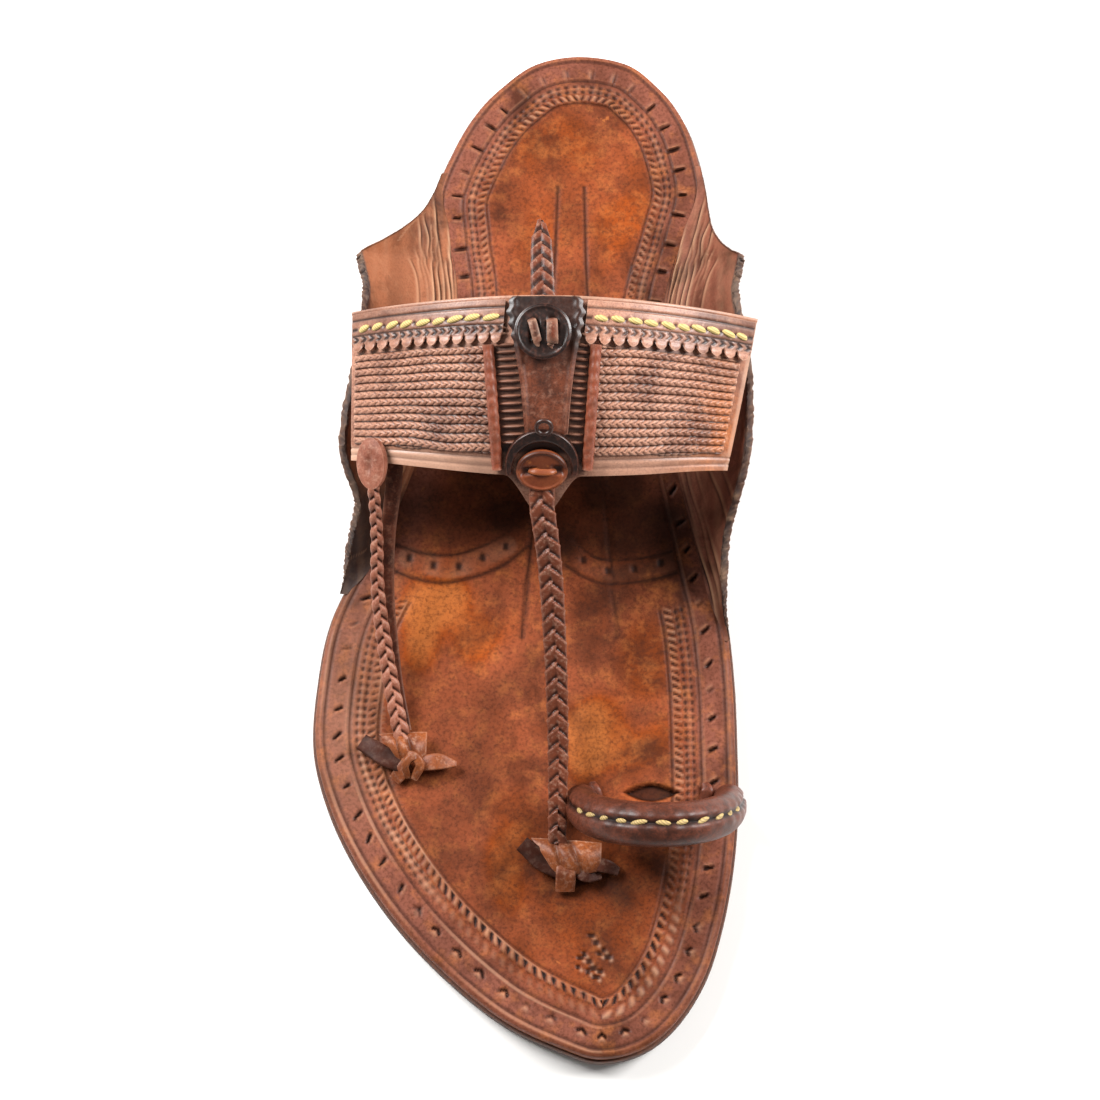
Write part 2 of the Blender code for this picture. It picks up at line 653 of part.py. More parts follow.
def tube_rings(path, sizes, sides):
    """Oval rings square to a path, each with its own half width across and half thickness."""
    path = np.array(path, float)
    ahead = np.gradient(path, axis=0)
    ahead /= np.linalg.norm(ahead, axis=1)[:, None]
    rings = []
    for point, way, (half_width, half_thick) in zip(path, ahead, sizes):
        side = np.cross(way, (0.0, 0.0, 1.0))
        side /= np.linalg.norm(side)
        top = np.cross(side, way)
        ring = []
        for k in range(sides):
            angle = 2 * math.pi * (k + 0.5) / sides
            ring.append(point + half_width * math.cos(angle) * side + half_thick * math.sin(angle) * top)
        rings.append(ring)
    return rings


def build_plait(name, route, plait, tip=1.0):
    """A braid as one wall whose lobes step in at every chevron; tip is its width share at the far end."""
    width, thickness, chevron = plait
    route = np.array(route, float)
    length = np.sum(np.linalg.norm(np.diff(resample(route, 60), axis=0), axis=1))
    lobes = max(2, round(length / chevron))
    path = resample(route, 2 * lobes + 1)
    sizes = []
    for i in range(len(path)):
        taper = max(0.0, 1 - (len(path) - 1 - i) / TIP_STATIONS)
        share = (1.0 if i % 2 == 0 else PLAIT_NOTCH) * (1 + (tip - 1) * taper)
        sizes.append((width / 2 * share, thickness / 2 * share))
    add_piece(name, *loft(tube_rings(path, sizes, PLAIT_SIDES)), "plait")


def build_plaits():
    x, y, _, half_length, _ = BUTTONS["front_button"]
    height = BAND_THICKNESS / 2 + FIT + TOE_PLAIT[1] / 2 + PLAIT_REST
    starts = [disc_point((x, y), -math.pi / 2, 0.0, half_length + away) for away in TOE_STARTS]
    toe_end = insole_top(y_of(TOE_KNOT_CENTRE[1])) + 2 * FIT + TOE_PLAIT[1] / 2
    toe_back = TOE_KNOT_CENTRE[1] + KNOT_DEPTH / 2 + FIT
    toe_route = [lift(*spot, height) for spot in starts] + list(TOE_RUN)
    build_plait("toe_plait", toe_route + [(TOE_FOOT_X, toe_back, toe_end)], TOE_PLAIT)

    under = -(BAND_THICKNESS / 2 + FIT + TAIL_PLAIT[1] / 2 + PLAIT_REST)
    tail_route = [lift(*spot, under) for spot in TAIL_ROOTS] + list(TAIL_RUN)
    build_plait("tail_plait", tail_route, TAIL_PLAIT, TAIL_TIP)

    x, y, _, half_length, low = BUTTONS["side_button"]
    spot = disc_point((x, y), -math.pi / 2, 0.0, half_length + SIDE_START)
    side_end = insole_top(y_of(SIDE_KNOT_CENTRE[1])) + 2 * FIT + SIDE_PLAIT[1] / 2
    side_back = SIDE_KNOT_CENTRE[1] + SIDE_KNOT_SCALE * KNOT_DEPTH / 2 + FIT
    side_route = [lift(*spot, low + BUTTON_THICKNESS / 2)] + list(SIDE_RUN)
    build_plait("side_plait", side_route + [(SIDE_FOOT_X, side_back, side_end)], SIDE_PLAIT)


def build_side_strip():
    """A flat tapered strip that hangs from under the band beside the side plait."""
    under = -(BAND_THICKNESS / 2 + FIT + SIDE_STRIP_THICKNESS)
    low, high = [], []
    for x, y, half_width, drop in SIDE_STRIP:
        edges = [(x - half_width, y), (x + half_width, y)]
        low.append([lift(*edge, under - drop) for edge in edges])
        high.append([lift(*edge, under - drop + SIDE_STRIP_THICKNESS) for edge in edges])
    add_piece("side_strip", *slab(low, high), "dark")


def build_knot(name, centre, scale):
    """A folded bow of leather across the foot, full in the middle and flat at its two ends."""
    floor = insole_top(y_of(centre[1])) + FIT
    rings = []
    for across, depth, height in KNOT_SECTIONS:
        ring = []
        for k in range(KNOT_SIDES):
            angle = 2 * math.pi * k / KNOT_SIDES
            y = centre[1] + scale * depth / 2 * math.cos(angle)
            z = floor + scale * height / 2 * max(0.0, 1 + KNOT_FLATTENING * math.sin(angle))
            ring.append((centre[0] + scale * across, y, z))
        rings.append(ring)
    add_piece(name, *loft(rings), "plait")


def build_toe_ring():
    """A roll of leather arched over the big toe, leaning forward, its ends square on the insole."""
    x, y = RING_CENTRE
    floor = insole_top(y_of(y)) + FIT
    angle = math.radians(RING_LEAN)
    path = []
    for t in np.linspace(0.0, math.pi, RING_STATIONS):
        height = RING_HEIGHT * math.sin(t) ** RING_FULLNESS
        path.append((x - RING_HALF_SPAN * math.cos(t), y - height * math.tan(angle), floor + height))
    path = np.array(path)
    ahead = np.gradient(path, axis=0)
    ahead /= np.linalg.norm(ahead, axis=1)[:, None]
    lean = np.array((0.0, math.cos(angle), math.sin(angle)))
    rings = []
    for station, (point, way) in enumerate(zip(path, ahead)):
        outward = np.cross(way, lean)
        ring = []
        for k in range(RING_SIDES):
            angle = 2 * math.pi * k / RING_SIDES
            ring.append(point + RING_TUBE * (math.cos(angle) * outward + math.sin(angle) * lean))
        if station in (0, RING_STATIONS - 1):
            ring = [(p[0], p[1], floor) for p in ring]
        rings.append(ring)
    add_piece("toe_ring", *loft(rings), "trim")


def stand_on_origin():
    """Parent every piece to an empty that puts the origin under the middle of the whole."""
    pieces = [piece for piece in bpy.data.objects if piece.type == "MESH" and not piece.hide_render]
    corners = np.array([v.co for piece in pieces for v in piece.data.vertices])
    low, high = corners.min(axis=0), corners.max(axis=0)
    root = bpy.data.objects.new("chappal", None)
    bpy.context.scene.collection.objects.link(root)
    root.location = (-(low[0] + high[0]) / 2, -(low[1] + high[1]) / 2, -low[2])
    for piece in [piece for piece in bpy.data.objects if piece.type == "MESH"]:
        piece.parent = root


def main():
    for old in list(bpy.data.objects):
        bpy.data.objects.remove(old, do_unlink=True)
    build_sole()
    build_ear("ear_lateral", -1, EAR_LATERAL)
    build_ear("ear_medial", 1, EAR_MEDIAL)
    build_band()
    build_collars()
    build_tab()
    build_pipings()
    build_button("rear_button", "dark")
    build_button("front_button", "button")
    build_button("side_button", "button")
    build_crescent()
    build_loop()
    build_plaits()
    build_side_strip()
    build_knot("toe_knot", TOE_KNOT_CENTRE, 1.0)
    build_knot("side_knot", SIDE_KNOT_CENTRE, SIDE_KNOT_SCALE)
    build_toe_ring()
    stand_on_origin()


main()
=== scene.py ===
"""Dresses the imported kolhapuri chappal: tooled insole, side ears, plaited band, buttons, plaits and toe ring.

The heel lies at +Y, the toe at -Y and the little-toe side at -X. Tables are in millimetres on the last's
own axis, and a mesh is moved and scaled to the frame where it is made. "Along" is a distance from the back
of the heel toward the toe.
"""
import math

import bpy
import numpy as np
from bpy.props import FloatProperty, FloatVectorProperty, PointerProperty
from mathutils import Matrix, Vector


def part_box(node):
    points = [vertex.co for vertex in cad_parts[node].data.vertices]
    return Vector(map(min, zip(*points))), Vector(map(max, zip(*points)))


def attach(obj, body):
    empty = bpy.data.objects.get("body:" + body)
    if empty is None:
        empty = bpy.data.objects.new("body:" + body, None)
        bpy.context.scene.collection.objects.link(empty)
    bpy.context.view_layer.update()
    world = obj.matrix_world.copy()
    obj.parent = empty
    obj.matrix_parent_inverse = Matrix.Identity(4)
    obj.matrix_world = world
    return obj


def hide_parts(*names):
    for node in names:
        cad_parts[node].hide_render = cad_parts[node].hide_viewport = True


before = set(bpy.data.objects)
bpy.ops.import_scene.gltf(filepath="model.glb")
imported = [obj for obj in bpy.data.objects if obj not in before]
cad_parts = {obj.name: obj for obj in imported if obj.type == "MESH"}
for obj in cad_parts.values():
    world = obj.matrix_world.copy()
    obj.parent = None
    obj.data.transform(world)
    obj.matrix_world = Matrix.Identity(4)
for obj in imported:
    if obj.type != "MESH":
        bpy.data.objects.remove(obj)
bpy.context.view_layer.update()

bl_info = {
    "name": "Kolhapuri chappal",
    "version": (1, 0, 0),
    "blender": (4, 5, 0),
    "location": "View3D > Sidebar > Chappal",
    "description": "Tooled, plaited and stitched leather over the packed chappal",
    "category": "Object",
}

# In metres: a millimetre, and the distance at which points merge
MM = 0.001
MERGE = 0.000002
SMOOTH_ANGLE = math.radians(50)
# The last's axis lies where the frame has the rear button, less the button's own place
REAR_BUTTON_X = -1.8
AXIS_X = sum(corner.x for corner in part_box("rear_button")) / (2 * MM) - REAR_BUTTON_X

# Sole
SOLE_LENGTH = 280.0
OUTSOLE_THICKNESS = 4.5
INSOLE_THICKNESS = 4.0
INSOLE_INSET = 0.8
HEEL_LIFT = 8.0
HEEL_BREAST = 75.0
LAYER_GAP = 0.3
TOE_SPRING = 3.0
WAIST_BACK, WAIST_FRONT = 78.0, 148.0
TOE_ROLL_START = 232.0
# Rows from heel to toe: along, lateral x, medial x
SOLE_SECTIONS = (
    (2.5, -4.4, 21.8), (9.5, -13.9, 30.5), (17.0, -20.7, 36.2), (27.0, -26.5, 40.4),
    (42.0, -32.0, 43.0), (57.0, -31.2, 39.6), (75.0, -29.6, 35.2), (95.0, -33.4, 34.8),
    (118.0, -40.5, 38.2), (140.0, -49.6, 43.4), (160.0, -58.9, 47.8), (178.0, -62.4, 49.6),
    (196.0, -63.2, 50.1), (212.0, -59.2, 50.1), (228.0, -51.5, 48.7), (244.0, -40.3, 45.6),
    (258.0, -27.0, 41.0), (270.0, -12.0, 33.4), (277.4, 3.6, 24.2),
)
HEEL_TIP_X = 8.3
TOE_TIP_X = 13.1
# Stations along each half of the outline, and columns across the insole's field
HALF_STATIONS = 560
INNER_COLUMNS = 80
# Edge profiles from the under side to the upper: inset, height
OUTSOLE_PROFILE = (
    (0.8, 0.0), (0.2, 0.25), (0.0, 0.8), (0.06, 2.1), (0.12, 2.25), (0.06, 2.4), (0.0, 3.8), (0.3, 4.4),
)
OUTSOLE_TOP_INSET = 0.9
LIFT_PROFILE = (
    (1.8, 0.0), (1.1, 0.3), (1.0, 0.8), (0.85, 2.6), (0.95, 2.75), (0.82, 2.9), (0.65, 5.3), (0.75, 5.45),
    (0.62, 5.6), (0.4, 7.6), (0.8, HEEL_LIFT),
)
# Rounded edge of the insole: inset, drop below its top
INSOLE_PROFILE = ((0.0, INSOLE_THICKNESS), (0.0, 2.6), (0.0, 1.3), (0.15, 0.8), (0.45, 0.4), (0.9, 0.12))

# Tooling of the insole, as distances from its edge where the border has its full width
EDGE_LINE, SECOND_LINE, THIRD_LINE = 2.4, 9.2, 17.0
SLIT_DEPTH, SLIT_WIDTH = 0.8, 1.25
# Slits: along, distance from the edge, length, degrees from the edge
SLITS = (
    (0.0, 6.9, 4.0, 90.0), (90.0, 6.9, 4.0, 88.0), (125.0, 5.9, 3.0, 60.0), (210.0, 5.9, 3.0, 55.0),
    (270.0, 5.9, 3.2, 80.0),
)
STAMP_BACK, STAMP_FRONT, BEAD_HALF = 10.4, 16.4, 1.3
STAMP_SLANT, TOE_STAMP_SHARE = 0.22, 1.42
LINE_WIDTH, LINE_DEPTH = 0.5, 0.28
# Width of the border along the outline: along, share of the full width
BORDER_WIDTHS = ((0.0, 0.84), (60.0, 0.82), (110.0, 0.90), (150.0, 1.0), (272.0, 1.0), (280.0, 0.94))
# Ends of the stamped work: the heel's ends at the waist, the forefoot's begins on each side
HEEL_WORK_END, LATERAL_WORK_START, MEDIAL_WORK_START = 106.0, 147.0, 153.0
# Where the work changes to the toe's pattern, and over what length
TOE_WORK_START, TOE_WORK_RAMP = 236.0, 14.0
# Inset of the field inside the border
FIELD_INSET = THIRD_LINE + 1.0
# Patches where the insole's dye is rubbed light: x, y, half length, half width, turn in degrees, strength
LIGHT_MARKS = (
    (25.6, -32.0, 14.0, 8.0, 80.0, 0.45), (12.0, -52.0, 11.0, 8.0, 20.0, 0.40),
    (-34.0, -19.0, 15.0, 9.0, 75.0, 0.40), (-21.0, -23.0, 12.0, 10.0, 0.0, 0.25),
    (28.0, -54.0, 9.0, 6.0, 60.0, 0.30), (11.0, -18.0, 6.0, 10.0, 0.0, 0.15),
    (19.0, 90.0, 15.0, 7.0, 75.0, 0.40), (2.0, 112.0, 12.0, 9.0, 0.0, 0.25),
    (-4.0, 84.0, 9.0, 6.0, 80.0, 0.15), (13.0, -98.0, 22.0, 26.0, 0.0, 0.35),
    (7.0, 98.0, 22.0, 28.0, 0.0, 0.18), (17.0, -56.0, 13.0, 15.0, 0.0, 0.28),
)
# Patches where it is dark, in the same columns: dye clouds, painted shade under and in front of the band, and
# the painted shadow of the toe ring and toe knot
DARK_DYE_AND_SHADE_MARKS = (
    (-12.0, -41.0, 17.0, 5.5, 55.0, 0.42), (-17.0, -60.0, 8.0, 10.0, 0.0, 0.20),
    (-16.0, -80.0, 17.0, 20.0, 0.0, 0.14), (9.0, -40.0, 4.0, 16.0, 0.0, 0.20),
    (20.0, -104.0, 12.0, 16.0, 20.0, 0.22), (30.0, -84.0, 10.0, 12.0, 0.0, 0.25),
    # Painted shade under and in front of the band: the rows at (-18, 6), (22, 4) and (0, 26)
    (-18.0, 6.0, 26.0, 9.0, 0.0, 0.50), (22.0, 4.0, 26.0, 10.0, 0.0, 0.75),
    (0.0, 26.0, 50.0, 18.0, 0.0, 0.75), (6.0, 92.0, 5.0, 9.0, 20.0, 0.30),
    (13.0, 82.0, 3.0, 7.0, 0.0, 0.22), (-10.0, 92.0, 5.0, 14.0, 10.0, 0.22),
    (5.0, 72.0, 20.0, 6.0, 0.0, 0.30), (-43.0, -30.0, 8.0, 16.0, 10.0, 0.15),
    (38.0, -20.0, 6.0, 16.0, 0.0, 0.15), (12.0, -106.0, 25.0, 30.0, 0.0, 0.26),
    (7.0, 98.0, 24.0, 30.0, 0.0, 0.08), (13.0, -20.0, 9.0, 14.0, 0.0, 0.30),
    (34.0, -94.0, 13.0, 26.0, 20.0, 0.20), (-20.0, -94.0, 9.0, 22.0, 30.0, 0.10),
    (-29.6, -80.0, 12.0, 16.0, 0.0, 0.14), (-23.0, -62.0, 8.0, 24.0, 0.0, 0.20),
    # Painted shadow of the toe ring and toe knot: the row at (20, -93)
    (16.0, -14.0, 13.0, 7.0, 0.0, 0.28), (20.0, -93.0, 12.0, 6.0, 0.0, 0.45),
    (-27.0, -110.0, 16.0, 6.0, -45.0, 0.22),
)
# Patches where the wax is worn off, in the same columns
DRY_MARKS = (
    (-33.0, -20.0, 8.0, 13.0, 0.0, 0.65), (-21.0, -27.0, 8.0, 8.0, 0.0, 0.35),
    (9.5, -54.0, 6.0, 14.0, 0.0, 0.60), (20.0, -56.0, 8.0, 8.0, 0.0, 0.30),
    (-11.0, -86.0, 7.0, 17.0, 0.0, 0.60),
)
# Tooled lines across the insole: plan points
TOOLED_LINES = (
    ((2.2, 100.0), (0.6, 66.0), (-3.4, 20.0), (-7.6, -26.0)),
    ((9.4, 100.0), (10.4, 66.0), (14.4, 20.0), (18.1, -26.0)),
    ((-43.1, -7.2), (-34.0, -10.2), (-25.6, -10.4), (-14.0, -6.6), (-5.4, -0.2)),
    ((-41.8, -0.2), (-34.0, -2.6), (-25.6, -2.9), (-17.0, 0.0), (-10.8, 3.6)),
    ((4.0, -5.8), (10.0, -9.6), (16.2, -11.1), (28.0, -9.8), (40.4, -5.8)),
    ((6.7, 1.0), (11.0, -3.0), (16.2, -4.4), (28.0, -3.4), (39.1, 0.4)),
)
# Rows of thong ticks between the tooled arcs: first point, middle point, last point
TICK_ROWS = (((-38.0, -3.8), (-26.0, -6.4), (-12.0, -0.6)), ((9.0, -4.4), (18.0, -7.6), (37.0, -3.4)))
TICK_PITCH, TICK_HALF_LENGTH, TICK_HALF_WIDTH = 5.2, 1.3, 0.9
# Punched figure at the toe: its middle, and its punches from there
FIGURE_CENTRE = (11.2, -112.5)
FIGURE = (
    (-0.4, 5.7), (0.8, 3.8), (2.8, 1.8), (3.9, 0.0), (1.8, 0.8), (-2.3, 0.8), (-3.2, -0.2), (-1.0, -1.2),
    (-3.9, -2.7), (0.1, -3.0), (1.8, -3.9), (-1.3, -3.9), (0.8, -5.4),
)
SLOT_CENTRE = (26.8, -68.5)
SLOT_LENGTH, SLOT_WIDTH, SLOT_DEPTH = 15.6, 5.4, 1.6

# Ears, turned up from the edge of the insole
EAR_LAP, EAR_END_LAP = 3.6, 1.3
EAR_ROOT_THICKNESS, EAR_RIM_THICKNESS = 1.9, 2.1
EAR_COLUMNS, EAR_ROWS = 260, 150
# Shares of an ear's rows: its outer face ends at the first, its inner face at the second
EAR_OUTER, EAR_INNER = 0.3, 0.95
# Rows from heel to toe: root along, rim along, rim x, rim height
EARS = {
    "ear_lateral": (-1, (
        (36.0, 36.1, -29.8, 17.35), (42.0, 42.4, -31.9, 18.2), (48.0, 48.6, -34.8, 21.0),
        (53.0, 54.8, -39.0, 26.2), (57.5, 61.0, -44.4, 32.4), (61.0, 65.8, -49.4, 37.4),
        (63.0, 67.6, -50.4, 38.9), (68.0, 71.5, -49.6, 40.0), (78.0, 80.0, -48.2, 41.2),
        (94.0, 96.0, -50.2, 39.6), (110.0, 112.0, -53.2, 37.8), (121.0, 123.0, -53.6, 36.0),
        (131.0, 132.6, -50.4, 27.5), (138.0, 139.0, -51.8, 20.4), (144.0, 144.6, -53.6, 14.2),
        (150.0, 150.2, -55.2, 10.2), (154.0, 154.0, -56.4, 9.05))),
    "ear_medial": (1, (
        (34.0, 34.1, 41.5, 17.35), (41.0, 41.4, 42.6, 18.2), (47.5, 48.2, 43.2, 20.6),
        (53.5, 55.4, 43.9, 26.0), (58.5, 61.2, 45.8, 31.0), (62.0, 65.6, 48.4, 35.8),
        (64.5, 68.2, 50.3, 38.8), (69.5, 72.8, 49.6, 39.9), (79.0, 81.0, 48.6, 41.6),
        (96.0, 98.0, 51.6, 39.9), (111.0, 113.0, 51.9, 38.6), (122.0, 123.5, 51.0, 36.4),
        (132.0, 133.4, 48.6, 31.4), (141.0, 141.8, 46.2, 24.4), (150.0, 150.5, 45.6, 17.0),
        (159.0, 159.3, 46.4, 11.8), (167.0, 167.0, 48.1, 9.05))),
}
# Wrinkles along the fold of an ear: distance from the insole's edge, start, end, swing, depth in millimetres
EAR_WRINKLES = (
    (-2.9, 0.12, 0.97, 0.35, 0.16), (-2.2, 0.06, 0.98, 0.45, 0.24), (-1.5, 0.04, 0.60, 0.50, 0.26),
    (-0.9, 0.10, 0.96, 0.55, 0.26), (-0.2, 0.08, 0.70, 0.55, 0.28), (0.5, 0.05, 0.95, 0.60, 0.28),
    (1.1, 0.14, 0.60, 0.60, 0.26), (1.8, 0.08, 0.92, 0.60, 0.28), (2.5, 0.16, 0.62, 0.60, 0.26),
    (3.2, 0.10, 0.90, 0.70, 0.24), (4.0, 0.20, 0.60, 0.70, 0.22), (4.9, 0.12, 0.85, 0.80, 0.18),
    (6.0, 0.24, 0.60, 0.80, 0.14), (7.4, 0.30, 0.95, 0.90, 0.14),
)
WRINKLE_WIDTH = 0.30

# Instep surface: y, crown height, end height, lateral end x, medial end x
CROWN_X = -2.0
INSTEP_SECTIONS = (
    (56.0, 66.4, 44.4, -51.2, 54.6), (50.0, 66.0, 43.4, -51.3, 53.6), (40.0, 64.6, 41.4, -51.4, 51.6),
    (28.0, 60.8, 39.0, -51.5, 49.2), (16.0, 54.9, 36.6, -51.6, 46.7), (8.0, 49.2, 35.0, -51.6, 45.1),
    (0.0, 42.4, 33.2, -51.6, 43.5), (-6.0, 36.6, 31.8, -51.6, 42.3),
)
# Edges of the band: share from lateral to medial end, rear y, front y
BAND_EDGES = (
    (0.0, 53.5, 14.9), (0.2, 51.2, 10.6), (0.45, 50.2, 7.6), (0.55, 50.2, 7.4), (0.75, 50.6, 8.4),
    (1.0, 51.9, 12.4),
)
BAND_THICKNESS = 3.0
TONGUE_DEPTH, TONGUE_HALF_WIDTH = 8.6, 10.0
# Height above the band's middle surface at which the trim lies
ON_BAND = BAND_THICKNESS / 2 + LAYER_GAP
# Shares of the band's depth, from its rear edge, between which the plaits lie, and their count
PLAIT_SPAN = (0.30, 0.89)
PLAIT_ROWS = 12
# Plaited panels: share of the band at the outer end, side
PANELS = {"plaited_panel_lateral": (0.014, -1), "plaited_panel_medial": (0.972, 1)}
BRAID_LENGTH, BRAID_HALF_WIDTH = 45.0, 1.2

# Collars: shares of the band's length where they start and stop
COLLARS = {"collar_lateral": (0.010, 0.385), "collar_medial": (0.580, 0.990)}
SCALLOPS, CHEVRONS = 12, 19
# Shares of the band's depth
COLLAR_BACK, COLLAR_FRONT, SCALLOP_DEPTH = 0.03, 0.235, 0.05
STITCH_DEPTH, CHEVRON_DEPTH, CHEVRON_HALF = 0.135, 0.205, 0.022
COLLAR_THICKNESS = 1.2
# Half sizes of a stitch, and its height over the band
STITCH_SIZE, STITCH_LIFT = (2.15, 0.88, 0.6), 1.32

# Centre tab and pipings: y, half width of the tab or distance of the piping from the crown
TAB_X = -1.0
TAB_SECTIONS = ((49.6, 8.4), (46.5, 9.4), (43.0, 9.0), (38.0, 8.0), (30.0, 6.6), (17.0, 5.3))
TAB_THICKNESS = 1.5
PIPING_SECTIONS = ((38.0, 13.3), (28.0, 12.6), (19.0, 12.0), (9.5, 11.3))
PIPING_HALF_WIDTH, PIPING_HALF_HEIGHT, PIPING_LIFT = 1.45, 1.5, 2.9
# Ladder columns between them: y, distance of the inner or the outer ends of the bars
LADDER_INNER = ((18.4, 5.6), (30.0, 6.8), (38.0, 8.2), (44.0, 9.6))
LADDER_OUTER = ((11.0, 9.8), (19.0, 10.3), (28.0, 10.9), (37.0, 11.5))
LADDER_FRONT, LADDER_REAR, LADDER_PITCH = 15.0, 38.5, 1.75

# Buttons: centre x and y, half width, half length, height above the band's middle surface
BUTTONS = {
    "rear_button": (REAR_BUTTON_X, 40.4, 6.6, 6.6, 4.0),
    "front_button": (-2.1, 9.4, 6.4, 5.3, 1.8),
    "side_button": (-44.5, 13.0, 4.0, 6.6, 2.7),
}
BUTTON_THICKNESS = 2.6
# Thongs of the rear button: x from its centre, half width, height, lean
REAR_THONGS = ((-1.9, 1.15, 1.0, 0.9), (2.1, 1.45, 1.6, 0.1))
# Bridge of the front button: x, y and height from its face
FRONT_BRIDGE = ((-2.9, 0.1, -0.8), (-1.7, 0.0, 0.3), (0.2, -0.1, 0.5), (2.0, -0.1, 0.3), (3.2, 0.0, -0.8))
THONG_HALF_HEIGHT = 0.45
MOON_INNER_RADIUS, MOON_WIDTH = 7.4, 3.5
LOOP_X, LOOP_Y, LOOP_LIFT = -1.6, 18.4, 5.0
LOOP_RADIUS, LOOP_TUBE = 1.9, 0.62

# Plaits: width, thickness, length of one chevron
TOE_PLAIT = (5.9, 3.6, 4.3)
SIDE_PLAIT = (4.0, 3.4, 4.0)
TAIL_PLAIT = (6.2, 3.0, 3.9)
# Knots: centre, a draped strap end by its upper and lower corners (left, right), and straps as path points
# from the centre, half widths, half thickness, darkness, lightness
KNOTS = {
    "toe_knot": ((5.6, -88.4), ((-10.6, 7.2), (8.0, 5.8), (-4.6, -2.2), (7.8, -1.8)), (
        (((-3.0, -1.6, 2.6), (-7.4, 0.6, 3.0), (-13.0, 5.4, 3.8)), (2.3, 2.5, 2.2), 0.6, 0.82, 0.0),
        (((-1.4, 1.8, 3.2), (-1.5, -2.8, 4.2), (-1.6, -6.8, 1.6)), (2.3, 2.6, 2.5), 0.65, 0.0, 0.7),
        (((0.8, -0.8, 2.4), (4.0, -2.8, 3.2), (7.6, -2.4, 1.4)), (1.7, 2.1, 1.5), 0.7, 0.6, 0.0),
        (((4.8, 0.4, 2.8), (9.0, -0.6, 3.2), (12.2, -1.6, 1.4)), (1.6, 1.9, 1.2), 0.6, 0.65, 0.0),
    )),
    "side_knot": ((-37.2, -60.4), ((-8.2, 7.2), (4.6, 7.8), (-3.4, 0.4), (4.4, 0.2)), (
        (((-1.2, -1.6, 2.6), (-6.4, 1.0, 2.8), (-12.8, 5.2, 2.2)), (2.2, 2.6, 2.3), 0.6, 0.78, 0.0),
        (((-0.6, -0.6, 2.8), (-2.2, -3.0, 2.6), (-3.9, -4.9, 1.0)), (1.8, 2.0, 1.7), 0.6, 0.0, 0.8),
        (((-1.6, 0.4, 2.8), (0.8, 0.6, 5.4), (2.8, -1.8, 4.8), (1.4, -4.6, 1.8)),
         (0.9, 1.2, 1.2, 0.9), 0.95, 0.0, 1.0),
        (((-0.6, -4.2, 1.8), (-1.0, -1.8, 4.8), (1.4, 0.2, 5.8), (3.8, -1.6, 2.6)),
         (0.8, 1.0, 1.0, 0.8), 0.85, 0.1, 1.0),
        (((2.8, -0.8, 2.8), (7.6, -0.6, 3.6), (12.2, -0.8, 2.0)), (2.0, 2.2, 0.8), 0.65, 0.0, 0.8),
    )),
}

# Toe ring: its plan centre, and its strap ends as points whose heights are above the insole
RING_CENTRE = (27.9, -70.8)
RING_HALF_SPAN, RING_HEIGHT, RING_LEAN, RING_TUBE = 19.6, 27.0, 24.0, 4.4
RING_HALF_WIDTHS = (4.6, 5.6, 5.8, 5.4, 4.6)
RING_TAILS = (
    ((12.8, -71.0, 0.2), (11.8, -68.2, 1.4), (11.2, -66.0, 0.7)),
    ((41.0, -70.5, 0.2), (41.6, -68.2, 1.2), (41.0, -66.2, 0.6)),
)
RING_STITCHES, RING_STITCH_START, RING_STITCH_END, RING_STITCH_LIFT = 11, 0.20, 0.82, 3.75

# Stage: camera target in millimetres, places and sizes of the boxes in metres
CAMERA_TARGET = (0.0, -2.0, 10.0)
CAMERA_LENS, CAMERA_SENSOR = 121.4, 36.0
LEFT_BOX, RIGHT_BOX = (-0.80, 0.50, 0.90), (1.0, 0.35, 0.75)
BOX_SIZE, FLOOR_SIZE, SKY_STRENGTH = 0.6, 6.0, 0.22


def linear(hex_colour):
    """An sRGB hex colour as linear red, green, blue and alpha."""
    channels = [int(hex_colour[i:i + 2], 16) / 255 for i in (0, 2, 4)]
    return [c / 12.92 if c <= 0.04045 else ((c + 0.055) / 1.055) ** 2.4 for c in channels] + [1.0]


def darker(tint, share):
    """A colour with its three channels brought down to a share."""
    return [c * share for c in tint[:3]] + [1.0]


def colour(name, text, hex_colour):
    """A colour that a user can change."""
    return FloatVectorProperty(
        name=name, description=text, subtype="COLOR", size=4, min=0.0, max=1.0, default=linear(hex_colour))


def length(name, text, millimetres):
    """A length that a user can change."""
    return FloatProperty(name=name, description=text, unit="LENGTH", precision=5, default=millimetres * MM)


